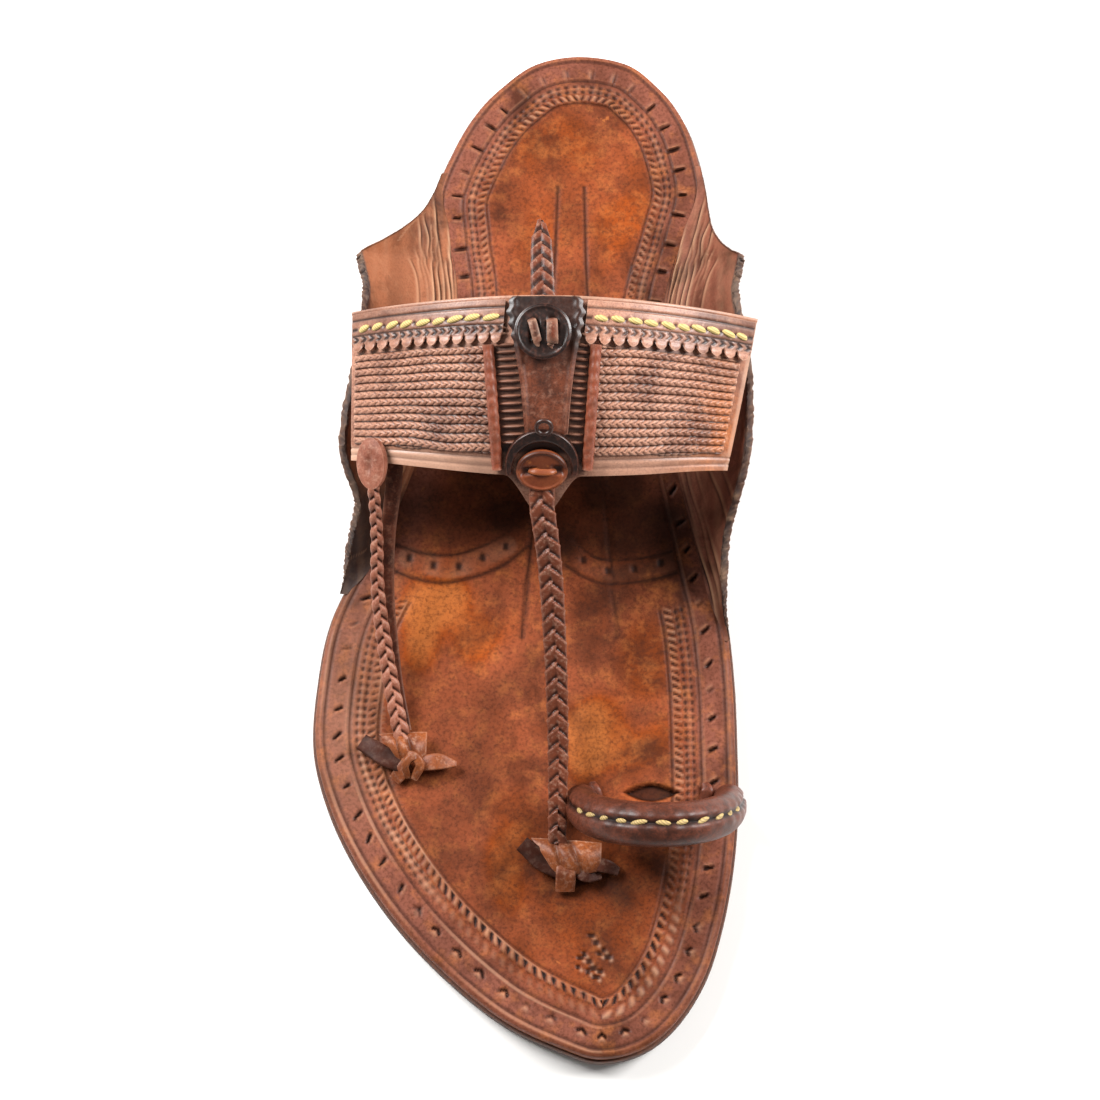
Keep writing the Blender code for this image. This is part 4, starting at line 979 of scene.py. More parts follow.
def border_tooling(inset, station, slit_pitch, stamps):
    """Height, darkness and rubbing of the tooling that follows the insole's edge."""
    border = Border(inset, station)
    heights, darks, rubs = zip(
        edge_lines(border), thong_slits(border, slit_pitch), stamped_beads(border, stamps),
        stamped_scales(border, stamps))
    return sum(heights), np.maximum.reduce(darks), np.maximum.reduce(rubs)


def field_tooling(x, y):
    """Height, darkness and rubbing of the tooled lines, ticks, figure and slot in the middle; the punches and
    the slot are painted dark as shade in their hollows.
    """
    height, dark, rub = np.zeros((3, len(x)))
    for points in TOOLED_LINES:
        dip, stain = groove(line_distance(x, y, points), 1.3 * LINE_WIDTH, LINE_DEPTH)
        height, dark = height + dip, np.maximum(dark, 1.45 * stain)
    patchy = np.clip(0.5 + 0.7 * soft_noise(x / 2.2, y / 1.6, 43), 0.0, 1.0)
    punches = []
    for row in TICK_ROWS:
        spots = resample(row, int(path_length(row) / TICK_PITCH))
        punches += [(px, py, TICK_HALF_WIDTH, TICK_HALF_LENGTH) for px, py in spots]
        strip = smooth_step((3.4 - line_distance(x, y, row)) / 0.8)
        rub = np.maximum(rub, (0.16 if row[0][0] < 0 else 0.05) * strip * patchy)
    for k, (dx, dy) in enumerate(FIGURE):
        px, py = FIGURE_CENTRE[0] + dx, FIGURE_CENTRE[1] + dy
        punches.append((px, py, 1.15 - 0.25 * (k % 3), 0.70 + 0.20 * (k % 2)))
        rub = np.maximum(rub, 0.6 * bell(x - px - 0.9, 0.5) * bell(y - py + 0.9, 0.5))
    # The punches are painted dark as shade in them
    for px, py, wide, long in punches:
        punch = bell(x - px, wide, 4) * bell(y - py, long, 4)
        height, dark = height - 0.45 * punch, np.maximum(dark, 0.9 * punch)
    # The slot's pocket is painted dark as shade in it
    reach = np.abs(x - SLOT_CENTRE[0]) / (SLOT_LENGTH / 2)
    lens = SLOT_WIDTH / 2 * np.cos(math.pi / 2 * np.clip(reach, 0, 1))
    into = (lens - np.abs(y - SLOT_CENTRE[1])) * (reach < 1)
    pocket = smooth_step(into / 0.8)
    rim = pocket * bell(into - 0.6, 0.6)
    return height - SLOT_DEPTH * pocket, np.maximum(dark, 0.82 * pocket + 0.15 * rim), rub


def patches(x, y, marks):
    """Strengths of all the soft patches in a table, each frayed at its edge, summed at each point."""
    total = np.zeros(len(x))
    fray = 0.30 * soft_noise(x / 4.0, y / 4.0, 31)
    for px, py, long, wide, turn, strength in marks:
        angle = math.radians(turn)
        ahead = (x - px) * math.cos(angle) + (y - py) * math.sin(angle)
        aside = -(x - px) * math.sin(angle) + (y - py) * math.cos(angle)
        total += strength * smooth_step(1.35 - np.hypot(ahead / long, aside / wide) + fray)
    return total


def dye_and_shade_marks(x, y):
    """The burnish and the darkness of the insole: what the dye and years of wear left, and in the darkness also
    painted shade under the band and the painted shadow of the toe ring and toe knot.
    """
    light = np.clip(patches(x, y, LIGHT_MARKS), 0.0, 0.45)
    dark = np.clip(patches(x, y, DARK_DYE_AND_SHADE_MARKS), 0.0, 0.85)
    return light + patches(x, y, DRY_MARKS), dark


def footbed(x, y):
    """Soft dishing and handmade waves of the insole."""
    heel = bell(x - 7.0, 20.0) * bell(y - 95.0, 34.0)
    ball = bell(x + 6.0, 32.0) * bell(y + 52.0, 40.0)
    return -0.7 * heel - 0.6 * ball + 0.12 * soft_noise(x / 9.0, y / 9.0, 3)


def plain_waist(station):
    """Share of the waist that has no stamped work, so that the tooled arcs run out over the border."""
    along, medial = RIM_ALONG[station % RIM_COUNT], station % RIM_COUNT < HALF_STATIONS
    start = np.where(medial, MEDIAL_WORK_START, LATERAL_WORK_START)
    return smooth_step((along - HEEL_WORK_END) / 6.0) * smooth_step((start + 1.0 - along) / 2.0)


def slot_share(x, y):
    """One over the slot, which reaches into the border."""
    along_slot = SLOT_LENGTH / 2 + 1.0 - np.abs(x - SLOT_CENTRE[0])
    across_slot = SLOT_WIDTH / 2 + 1.0 - np.abs(y - SLOT_CENTRE[1])
    return smooth_step(along_slot) * smooth_step(across_slot)


class DressInsole(bpy.types.Operator):
    """Make the tooled top sheet of the sole"""
    bl_idname = "chappal.insole"
    bl_label = "Insole"

    def execute(self, context):
        sizes, dyes = context.scene.chappal_sizes, context.scene.chappal_leathers
        flat = np.linspace(1.4, FIELD_INSET, 40)
        insets = np.array(column(INSOLE_PROFILE, 0) + list(flat))
        drops = np.array(column(INSOLE_PROFILE, 1) + [0.0] * len(flat))
        slit_pitch = RIM_RUN[-1] / round(RIM_RUN[-1] / (sizes.slit_pitch / MM))
        stamps = stamp_count(sizes.stamp_pitch / MM)

        def border(u, v):
            station = np.rint(u * RIM_COUNT).astype(int) % RIM_COUNT
            ring = np.rint(v * (len(insets) - 1)).astype(int)
            inset, tooled_inset = insets[ring], insets[ring] / BORDER_SHARE[station]
            plan = rim_point(station, INSOLE_INSET + inset)
            x, y = plan.T
            height, dark, rub = border_tooling(tooled_inset, station, slit_pitch, stamps)
            on_top = smooth_step((inset - 1.0) / 0.4) * smooth_step((FIELD_INSET - inset) / 0.7)
            arcs, arc_dark, arc_rub = field_tooling(x, y)
            begin = np.where(station < HALF_STATIONS, SECOND_LINE + 0.4, 4.0)
            open_work = plain_waist(station) * smooth_step((tooled_inset - begin) / 0.5)
            open_work = np.maximum(open_work, slot_share(x, y))
            dusty = 0.18 * bell(x + 50.0, 14.0) * bell(y + 45.0, 28.0)
            light, shade = dye_and_shade_marks(x, y)
            settle = footbed(x, y) * smooth_step((inset - 1.0) / 8.0)
            z = insole_top(along_of(y)) - drops[ring] + on_top * height + settle + open_work * arcs
            return np.column_stack((plan, z)), {
                "wax_and_shade": np.maximum.reduce((on_top * dark, open_work * arc_dark, shade)),
                "burnish": 0.55 * smooth_step((inset - 6.0) / 10.0) + light,
                "rubbed": np.maximum.reduce((on_top * rub, open_work * arc_rub, dusty)),
            }

        def field(u, v):
            station = np.rint(v * HALF_STATIONS).astype(int)
            plan = across_plan(u, v, INSOLE_INSET + FIELD_INSET)
            x, y = plan.T
            height, dark, rub = field_tooling(x, y)
            inner = np.maximum.reduce((
                smooth_step(np.minimum(u, 1 - u) * 30), plain_waist(np.where(u < 0.5, -station, station)),
                slot_share(x, y)))
            light, shade = dye_and_shade_marks(x, y)
            z = insole_top(along_of(y)) + height * inner + footbed(x, y)
            return np.column_stack((plan, z)), {
                "wax_and_shade": np.maximum(dark * inner, shade), "burnish": 0.55 + light, "rubbed": rub * inner}

        def under(u, v):
            plan = across_plan(u, v, INSOLE_INSET)
            return np.column_stack((plan, insole_top(along_of(plan[:, 1])) - INSOLE_THICKNESS)), {}

        insole = join([
            stretched_grid("insole_border", RIM_COUNT, len(insets) - 1, border),
            stretched_grid("insole_field", INNER_COLUMNS, HALF_STATIONS, field),
            stretched_grid("insole_under", 1, HALF_STATIONS, under),
        ], "insole_tooled")
        close(insole)
        hide = leather(
            "veg_tanned_insole", dyes.insole_burnt, dyes.insole_rim, dyes.insole_light,
            centre=dyes.insole_tan, bare=dyes.insole_bare, cloud=24.0, grain=0.9, roughness=0.5, shine=0.12,
            coat=0.0, wear=0.9)
        hand_over(insole, hide, "insole_leather", "insole")
        return {"FINISHED"}


class DressSole(bpy.types.Operator):
    """Make the outsole and the heel lift"""
    bl_idname = "chappal.sole"
    bl_label = "Outsole and heel"

    def execute(self, context):
        dyes = context.scene.chappal_leathers
        edge = leather(
            "dressed_sole_edge", darker(dyes.edge_brown, 0.4), dyes.edge_brown, dyes.ear_brown,
            cloud=9.0, grain=0.8, roughness=0.6, coat=0.05, depth=0.12)
        rings = [(inset, lambda along, rise=rise: sole_base(along) + rise) for inset, rise in OUTSOLE_PROFILE]
        outsole = sole_slab("outsole_sheet", rings + [(OUTSOLE_TOP_INSET, outsole_top)])
        hand_over(outsole, edge, "sole_leather", "outsole")

        lift_rings = [(inset, lambda along, z=z: 0.0 * along + z) for inset, z in LIFT_PROFILE]
        heel = sole_slab("heel_lift_stack", lift_rings)
        only(heel)
        bpy.ops.object.mode_set(mode="EDIT")
        bpy.ops.mesh.select_all(action="SELECT")
        bpy.ops.mesh.bisect(
            plane_co=(0.0, y_of(HEEL_BREAST) * MM, 0.0), plane_no=(0.0, 1.0, 0.0),
            use_fill=True, clear_inner=True)
        bpy.ops.object.mode_set(mode="OBJECT")
        hand_over(heel, edge, "sole_leather", "heel_lift")
        return {"FINISHED"}


class DressEars(bpy.types.Operator):
    """Make the two side ears with their creases and raw rims"""
    bl_idname = "chappal.ears"
    bl_label = "Side ears"

    def execute(self, context):
        dyes = context.scene.chappal_leathers
        for name, (side, table) in EARS.items():
            middle = dyes.ear_brown if side < 0 else dyes.ear_red
            hide = leather(
                "raw_edged_" + name + "_leather", dyes.insole_burnt, middle, dyes.ear_light,
                centre=dyes.ear_raw_and_shade, bare=dyes.ear_light, cloud=16.0, grain=0.6, roughness=0.6, shine=0.15,
                coat=0.0, depth=0.05, wear=0.4, speckle=0.25, flecks=0.12)
            hand_over(self.build(name + "_flap", side, table), hide, "ear_leather", name)
        return {"FINISHED"}

    def wrinkles(self, u, away):
        """Height, troughs and crests of the creases along the fold, at distances from the insole's edge; the
        troughs are used as painted shadow lines.
        """
        height, trough, crest = np.zeros((3, len(u)))
        for at, begin, end, swing, depth in EAR_WRINKLES:
            line = 5 * at + 0 * u
            sway = soft_noise(11 * u, line, 6) + 0.5 * soft_noise(34 * u, line, 7)
            far = (away - at - swing * sway) / WRINKLE_WIDTH
            part = smooth_step((u - begin) / 0.10) * smooth_step((end - u) / 0.12)
            part = part * np.clip(0.45 + 1.0 * soft_noise(15 * u, line, 8), 0.0, 1.2)
            height += part * depth * (bell(far, 1.0) - 0.9 * bell(far + 1.7, 1.0))
            trough += part * bell(far + 1.7, 0.7)
            crest += part * bell(far - 0.2, 1.0)
        return height, trough, crest

    def build(self, name, side, table):
        """A closed flap: up its outer face, over the rim, down its inner face and back to the root."""
        root, rim, out, top = (
            curve_through(np.linspace(0, 1, len(table)), column(table, i)) for i in range(4))
        ragged = np.random.default_rng(11).uniform(-1.0, 1.0, (EAR_COLUMNS + 1) * (EAR_ROWS + 1))

        def section(u, rise):
            """Points of the flap's inner face, which bends up from the insole to the rim."""
            along = root(u)
            deck, edge = insole_top(along) + 0.06, edge_x(along, side) - side * INSOLE_INSET
            tip = np.stack((out(u), y_of(rim(u)), top(u)), axis=-1)
            lap = smooth_step(u / 0.22) * smooth_step((1.0 - u) / 0.10)
            lap = EAR_END_LAP + (EAR_LAP - EAR_END_LAP) * lap
            start = np.stack((edge - side * lap, y_of(along), deck), axis=-1)
            bend_x = start[:, 0] + 0.42 * (tip[:, 0] - start[:, 0])
            bend = np.stack((bend_x, y_of(along), deck + 0.2), axis=-1)
            t = rise[:, None]
            return (1 - t) ** 2 * start + 2 * t * (1 - t) * bend + t * t * tip

        def facing(u, rise):
            """Directions square to the inner face, toward the foot."""
            step = 0.004
            u_in, rise_in = np.clip(u, step, 1 - step), np.clip(rise, step, 1 - step)
            forward = section(u_in + step, rise) - section(u_in - step, rise)
            upward = section(u, rise_in + step) - section(u, rise_in - step)
            return unit(np.cross(forward, upward)) * side

        def place(u, v):
            outer = v < EAR_OUTER
            inner_rise = np.clip((EAR_INNER - v) / (EAR_INNER - EAR_OUTER), 0.0, 1.0)
            reach = 1.04 * np.where(outer, v / EAR_OUTER, inner_rise)
            rise, cap = np.clip(reach, 0.0, 1.0), np.clip((reach - 1.0) / 0.04, 0.0, 1.0)
            base, normal = section(u, rise), facing(u, rise)
            x, y = base[:, 0], base[:, 1]
            corner = smooth_step((u - 0.345) / 0.045)
            # The front of the lateral ear is greyed toward the raw colour as painted shade where the band
            # shades it; the medial ear's front takes a little of it
            front = smooth_step((u - 0.69) / 0.07) * (1.0 if side < 0 else 0.12)
            thin = 0.25 + 0.75 * corner * smooth_step((1.0 - u) / 0.14)
            thick = thin * (EAR_ROOT_THICKNESS + (EAR_RIM_THICKNESS - EAR_ROOT_THICKNESS) * rise)
            away = side * (x - edge_x(root(u), side)) + INSOLE_INSET
            wrinkle, trough, crest = (1 - front) * np.array(self.wrinkles(u, away))
            uneven = 0.12 * soft_noise(24 * u, 7 * rise, 5)
            half = 0.5 * thick * np.sqrt(np.clip(1 - cap ** 2, 0.0, 1.0))
            inside = base + (half - 0.5 * thick + uneven + wrinkle)[:, None] * normal
            outside = base + (uneven - half - 0.5 * thick)[:, None] * normal
            foot_x, foot_z = edge_x(root(u), side) - side * 0.15, outsole_top(root(u)) + 0.05
            foot = np.stack((foot_x, y_of(root(u)), foot_z), axis=-1)
            grip = smooth_step(1 - rise / 0.35) * smooth_step(u / 0.14) * smooth_step((1 - u) / 0.08)
            outside = outside + grip[:, None] * (foot - outside)
            share = np.where(outer, 1.0, np.clip((v - EAR_INNER) / (1 - EAR_INNER), 0.0, 1.0))
            spot = inside + share[:, None] * (outside - inside)
            torn = ragged + 0.6 * soft_noise(23 * u, 0 * u, 12)
            ray = (0.06 + 0.32 * corner) * torn * smooth_step((rise - 0.97) / 0.03)
            spot[:, 2] += ray + 0.7 * thin * np.sqrt(cap)
            spot[:, 0] += side * 0.6 * ray
            fibre = soft_noise(y / 14.0, x / 0.8, 9) + soft_noise(y / 20.0, x / 2.5, 10)
            seam = bell(rise, 0.02) * smooth_step(u / 0.2)
            blot = np.clip(soft_noise(y / 15.0, x / 4.0, 13), 0.0, 1.0)
            at_rim = smooth_step((rise - 0.975) / 0.025)
            # Wrinkle troughs are painted shadow lines, and the side term is painted shade that darkens the
            # medial ear and lightens the lateral one; the fibre streaks, blots and seam line are colour
            shade = 0.60 * trough + 0.20 * np.clip(fibre, 0.0, 1.0) + 0.5 * seam + 0.30 * blot
            shade = shade + 0.10 + 0.06 * side + 0.6 * (1 - corner) * at_rim
            worn_rim = corner * at_rim
            rubbed = 0.45 * crest + 0.10 * np.clip(-fibre, 0.0, 1.0)
            return spot, {
                "wax_and_shade": np.clip(np.where(outer, 0.1, shade), 0.0, 0.8),
                "burnish": np.where(outer, 0.40 + 0.45 * worn_rim, np.maximum(worn_rim, front)),
                "rubbed": np.clip(np.where(outer, 0.0, rubbed), 0.0, 0.8),
            }

        ear = stretched_grid(name, EAR_COLUMNS, EAR_ROWS, place)
        close(ear)
        return ear


def warm_end(share, depth):
    """Share of the warm wax, which lies on the medial end of the band and most toward its front edge."""
    return 0.9 * smooth_step((share - 0.80) / 0.17) * (0.35 + 0.65 * smooth_step((depth - 0.35) / 0.3))


class DressBand(bpy.types.Operator):
    """Make the instep band with its plaited panels and ladder columns"""
    bl_idname = "chappal.band"
    bl_label = "Instep band"

    def execute(self, context):
        dyes, sizes = context.scene.chappal_leathers, context.scene.chappal_sizes
        hide = leather(
            "waxed_band_leather", dyes.trim_red, dyes.band_tan, dyes.band_light,
            centre=dyes.band_orange, cloud=12.0, grain=0.5, roughness=0.44, coat=0.12)
        smooth = leather(
            "smooth_band_leather", dyes.trim_red, dyes.band_tan, dyes.band_light,
            centre=dyes.band_orange, bare=dyes.band_light, cloud=15.0, grain=0.55, roughness=0.42, coat=0.25)
        # The ladder bars lie in a shaded recess; their leather is the panels' palette one step darker, as
        # painted shade
        ladder_shade_leather = leather(
            "ladder_leather_painted_shade", dyes.dark_brown, dyes.trim_red, dyes.band_tan,
            cloud=12.0, grain=0.6, roughness=0.5, coat=0.05, flecks=0.25)
        hand_over(self.ground(), smooth, "band_leather", "instep_band")
        for name, (outer, side) in PANELS.items():
            panel = self.panel(name, outer, side, sizes.braid_pitch / MM)
            hand_over(panel, hide, "band_leather")
        hand_over(self.ladders(), ladder_shade_leather, "band_leather")
        return {"FINISHED"}

    def ground(self):
        """The strap itself, with two tooled lines along its front edge and painted shade where it shows under
        the plaits.
        """
        def place(u, v):
            depth = 1 - v
            x, y = band_plan(u, depth)
            lines = bell(depth - 0.915, 0.006) + bell(depth - 0.955, 0.006)
            lip = bell(depth - 0.012, 0.012)
            # Painted shade on the ground where it shows between the plaited rows
            under = smooth_step((depth - 0.285) / 0.02) * smooth_step((PLAIT_SPAN[1] + 0.005 - depth) / 0.02)
            under = under * smooth_step((u - 0.008) / 0.008) * smooth_step((0.976 - u) / 0.008)
            beside = smooth_step((np.abs(x - TAB_X) - 10.0) / 4.0)
            tongue = (1 - beside) * smooth_step((depth - 0.80) / 0.1)
            shade = 0.4 * lines * beside + 0.75 * under + 0.4 * tongue
            shade = shade + 0.2 * smooth_step((0.03 - depth) / 0.01)
            height = BAND_THICKNESS / 2 + 0.35 * lip - 0.3 * lines + 0.06 * soft_noise(x / 5, y / 5, 8)
            return lift(x, y, height), {
                "wax_and_shade": np.clip(shade, 0.0, 1.0), "burnish": warm_end(u, depth),
                "rubbed": beside * (0.65 - 0.5 * u) * smooth_step((depth - 0.90) / 0.02)}

        band = stretched_grid("instep_band_ground", 150, 96, place)
        wall(band, BAND_THICKNESS, 0.7)
        return band

    def ladders(self):
        """Two columns of short bars between the tab and the pipings."""
        bars = []
        for side in (-1, 1):
            for y in np.arange(LADDER_FRONT, LADDER_REAR, LADDER_PITCH):
                left = TAB_X + side * np.interp(y, column(LADDER_INNER, 0), column(LADDER_INNER, 1))
                right = CROWN_X + side * np.interp(y, column(LADDER_OUTER, 0), column(LADDER_OUTER, 1))
                middle, half = (left + right) / 2, abs(right - left) / 2
                point, across, back, out = instep_frame(middle, y)
                bars.append((point + 1.9 * out, (across * (half + 0.5), back * 0.52, out * 0.7)))
        return scatter("ladder_columns", lobe_mesh(8, 6), bars)

    def panel(self, name, outer, side, pitch):
        """A sheet of flat braids side by side, each with its strands pointing to the middle of the band, with
        painted shade in the furrows between rows and the gaps between strands.
        """
        first, last = PLAIT_SPAN
        away = curve_through(column(PIPING_SECTIONS, 0), column(PIPING_SECTIONS, 1))
        count = round(BRAID_LENGTH / pitch)

        def place(u, v):
            depth = first + (last - first) * (1 - v)
            near = np.full(len(u), 0.5 + 0.14 * side)
            y_in = REAR_EDGE(near) + (FRONT_EDGE(near) - REAR_EDGE(near)) * depth
            x_in = CROWN_X + side * away(y_in)
            inner = (x_in - LATERAL_END(y_in)) / (MEDIAL_END(y_in) - LATERAL_END(y_in))
            run = u if side < 0 else 1 - u
            share = outer + (inner - outer) * run
            x, y = band_plan(share, depth)
            rows = PLAIT_ROWS * (1 - v) + 0.14 * soft_noise(9 * u, 5 * v, 14 + side)
            across = 2 * (rows % 1.0) - 1
            lag = np.where(across > 0, 0.5, 0.0) + 0.37 * np.floor(rows)
            turns = count * run + 1.25 * BRAID_HALF_WIDTH * np.abs(across) / pitch + lag
            strand = np.abs(np.sin(math.pi * turns)) ** 0.7
            swell = 0.6 + 0.4 * smooth_step(run / 0.35)
            crown = np.sqrt(np.clip(1 - (0.97 * across) ** 2, 0.0, 1.0))
            # Furrows between rows and gaps between strands get painted shade; the lateral panel's is a little
            # darker
            furrow = smooth_step((np.abs(across) - 0.68) / 0.26)
            gap = smooth_step((0.60 - strand) / 0.55) * swell
            height = BAND_THICKNESS / 2 + 0.12 + 0.95 * crown * (1 - 0.40 * swell * (1 - strand))
            return lift(x, y, height), {
                "wax_and_shade": np.clip((0.80 - 0.08 * side) * (furrow + 0.8 * gap), 0.0, 1.0),
                "burnish": warm_end(share, depth)}

        panel = stretched_grid(name, 190, PLAIT_ROWS * 11, place)
        modify(panel, "SOLIDIFY", thickness=0.5 * MM, offset=-1.0)
        return panel


class DressCollars(bpy.types.Operator):
    """Make the stitched and scalloped strips along the rear edge of the band"""
    bl_idname = "chappal.collars"
    bl_label = "Collars and stitches"

    def execute(self, context):
        dyes, sizes = context.scene.chappal_leathers, context.scene.chappal_sizes
        hide = leather(
            "scalloped_collar_leather", dyes.trim_red, dyes.band_tan, dyes.band_light,
            cloud=10.0, grain=0.5, roughness=0.4, coat=0.25)
        thread = twisted_thread("waxed_cotton_thread", dyes.thread)
        stitches = []
        for name, (start, stop) in COLLARS.items():
            shares = np.linspace(start + 0.012, stop - 0.012, 300)
            x, y = band_plan(shares, np.full(len(shares), STITCH_DEPTH))
            run = run_along(lift(x, y, ON_BAND + 1.3))
            count = int(run[-1] / (sizes.stitch_pitch / MM))
            collar = self.strip(name + "_strip", start, stop, shares, run * count / run[-1])
            hand_over(collar, hide, "trim_leather", name)
            stitches += self.stitches(shares, run, count, 1 if start < 0.5 else -1)
        seam = scatter("collar_stitches", lobe_mesh(10, 8), stitches)
        hand_over(seam, thread, "trim_leather")
        return {"FINISHED"}

    def strip(self, name, start, stop, shares, sewn):
        """A scalloped strip with a chevron row; sewn counts the stitch holes up to each share."""
        def place(u, v):
            share = start + (stop - start) * u
            bump = np.abs(np.sin(math.pi * SCALLOPS * u)) ** 0.7
            front = COLLAR_FRONT + SCALLOP_DEPTH * bump
            depth = COLLAR_BACK + (front - COLLAR_BACK) * (1 - v)
            x, y = band_plan(share, depth)
            away = (depth - CHEVRON_DEPTH) / CHEVRON_HALF
            chevron = np.sin(2 * math.pi * (CHEVRONS * u + 0.40 * np.abs(away)))
            inside = smooth_step((1.0 - np.abs(away)) / 0.25)
            ridge = smooth_step(0.5 + 0.8 * chevron)
            line = bell(depth - 0.075, 0.008) + bell(depth - 0.178, 0.006)
            # The scallop gaps are painted dark as shadow at the front edge. The lateral collar and the medial
            # end are darkened, which leaves the middle of the medial collar light as a painted highlight; the
            # stitched strip is darkened most where those are.
            gap = smooth_step((depth - 0.232) / 0.01) * (1 - smooth_step((bump - 0.25) / 0.35))
            shade_around_highlight = 0.30 * (smooth_step((0.48 - share) / 0.06) + smooth_step((share - 0.80) / 0.12))
            strip_darkening = 0.35 * smooth_step((depth - 0.10) / 0.04) * smooth_step((0.236 - depth) / 0.01)
            strip_darkening = strip_darkening * (0.4 + 2.0 * shade_around_highlight) + shade_around_highlight * smooth_step((0.12 - depth) / 0.02)
            from_hole = np.interp(share, shares, sewn) + 0.5
            from_hole = np.abs(from_hole - np.floor(from_hole) - 0.5)
            hole = bell(from_hole, 0.10) * bell(depth - STITCH_DEPTH, 0.012)
            stain = 0.7 * inside * (1 - ridge) + 0.7 * line + gap + strip_darkening + 0.8 * hole
            height = ON_BAND + COLLAR_THICKNESS + inside * (0.25 * ridge - 0.25)
            height = height - 0.25 * line - 0.4 * gap - 0.3 * hole
            height = height + 0.25 * smooth_step((depth - 0.24) / 0.02) * bump
            return lift(x, y, height), {"wax_and_shade": np.clip(stain, 0.0, 1.0)}

        collar = stretched_grid(name, SCALLOPS * 20, 44, place)
        modify(collar, "SOLIDIFY", thickness=COLLAR_THICKNESS * MM, offset=-1.0)
        return collar

    def stitches(self, shares, run, count, toward):
        """Places of slightly uneven stitches, evenly spaced along the run and leaning to the middle."""
        dice = np.random.default_rng(4)
        places = []
        for goal in (np.arange(count) + 0.5) * run[-1] / count:
            share = np.interp(goal + dice.uniform(-0.3, 0.3), run, shares)
            x, y = band_plan(share, STITCH_DEPTH + dice.uniform(-0.006, 0.006))
            point, across, back, out = instep_frame(x, y)
            way = unit(across + toward * 0.18 * back + dice.uniform(-0.08, 0.08) * back)
            long, wide, high = STITCH_SIZE
            long = long * dice.uniform(0.85, 1.1)
            axes = (way * long, np.cross(out, way) * wide, out * high)
            places.append((point + (ON_BAND + STITCH_LIFT) * out, axes))
        return places


class DressTab(bpy.types.Operator):
    """Make the tapered centre tab and the rolled pipings beside it"""
    bl_idname = "chappal.tab"
    bl_label = "Tab and pipings"

    def execute(self, context):
        dyes = context.scene.chappal_leathers
        hide = leather(
            "rolled_trim_leather", dyes.dark_brown, dyes.tab_red, dyes.band_tan,
            cloud=9.0, grain=0.5, roughness=0.38, coat=0.3)
        roll = leather(
            "rolled_piping_leather", dyes.trim_red, dyes.piping_red, dyes.band_light,
            cloud=7.0, grain=0.5, roughness=0.42, coat=0.08, wear=0.4, flecks=0.2)
        hand_over(self.tab(), hide, "trim_leather", "centre_tab")
        for name, side in (("piping_lateral", -1), ("piping_medial", 1)):
            hand_over(self.piping(name + "_roll", side), roll, "trim_leather", name)
        return {"FINISHED"}

    def tab(self):
        """The tapered strap, with painted shade at its wide end under the rear button."""
        width = curve_through(column(TAB_SECTIONS, 0), column(TAB_SECTIONS, 1))
        rear, front = TAB_SECTIONS[0][0], TAB_SECTIONS[-1][0]

        def place(u, v):
            y = front + (rear - front) * v
            t = 2 * u - 1
            wave = 0.35 * np.sin(2.1 * y) * smooth_step((y - 36.0) / 5.0)
            x = TAB_X + (width(y) + wave) * t
            rim = bell(np.abs(t) - 0.86, 0.09)
            swell = 0.45 * rim - 0.25 * (1 - t * t) + 0.1 * soft_noise(x / 2, y / 2, 6)
            # Painted shade at the wide end, under and round the rear button
            dark = 0.8 * smooth_step((y - 32.0) / 6.0)
            return lift(x, y, ON_BAND + TAB_THICKNESS + swell), {"wax_and_shade": dark}

        tab = stretched_grid("centre_tab_strap", 40, 70, place)
        wall(tab, TAB_THICKNESS, 0.4)
        return tab

    def piping(self, name, side):
        """A rolled strip that closes a plaited panel at the middle of the band."""
        def creases(run, aside, angle):
            return 0.07 * np.sin(2.1 * run + 2 * np.sin(angle)), 0 * run

        y, away = np.array(PIPING_SECTIONS).T
        x = CROWN_X + side * away
        return sweep(
            name, lift(x, y, PIPING_LIFT), (PIPING_HALF_WIDTH,) * 4, (PIPING_HALF_HEIGHT,) * 4,
            stations=90, sides=24, up=instep_frame(x, y)[3], relief=creases)


def disc_place(centre, across_mm, back_mm, height):
    """Points over a disc that lies on the instep round a centre."""
    point, across, back, _ = instep_frame(*centre)
    spot = point + across_mm[:, None] * across + back_mm[:, None] * back
    return lift(spot[:, 0], spot[:, 1], height)


def button_shape(name, relief):
    """A leather disc with a soft rim; relief(a, b) gives the height and darkness of its face.

    Its rows run from the middle of its under side, round its edge and over its face.
    """
    x, y, half_width, half_length, low = BUTTONS[name]
    under_end, edge_end = 0.12, 0.25
    rim_height = 0.0 if name == "side_button" else 0.35

    def place(u, v):
        angle = 2 * math.pi * u
        profile = v * (1 + edge_end)
        on_face = profile > edge_end
        rising = np.clip((profile - under_end) / (edge_end - under_end), 0.0, 1.0)
        size = np.where(profile < under_end, 0.96 * profile / under_end, 1.0 - 0.06 * (2 * rising - 1) ** 2)
        size = np.where(on_face, 1.0 - np.clip(profile - edge_end, 0.0, 1.0), size)
        a, b = size * np.cos(angle), size * np.sin(angle)
        rise, dark = relief(a, b)
        height = low + BUTTON_THICKNESS * rising + on_face * (rise + rim_height * bell(size - 0.9, 0.07))
        points = disc_place((x, y), half_width * a, half_length * b, height)
        return points, {"wax_and_shade": np.where(on_face, dark, 0.0)}

    button = stretched_grid(name + "_disc", 84, 60, place)
    close(button)
    return button


def on_button(name, points):
    """Points over a button: x and y from its centre, height from its face."""
    x, y, _, _, low = BUTTONS[name]
    return [lift(x + dx, y + dy, low + BUTTON_THICKNESS + height) for dx, dy, height in points]


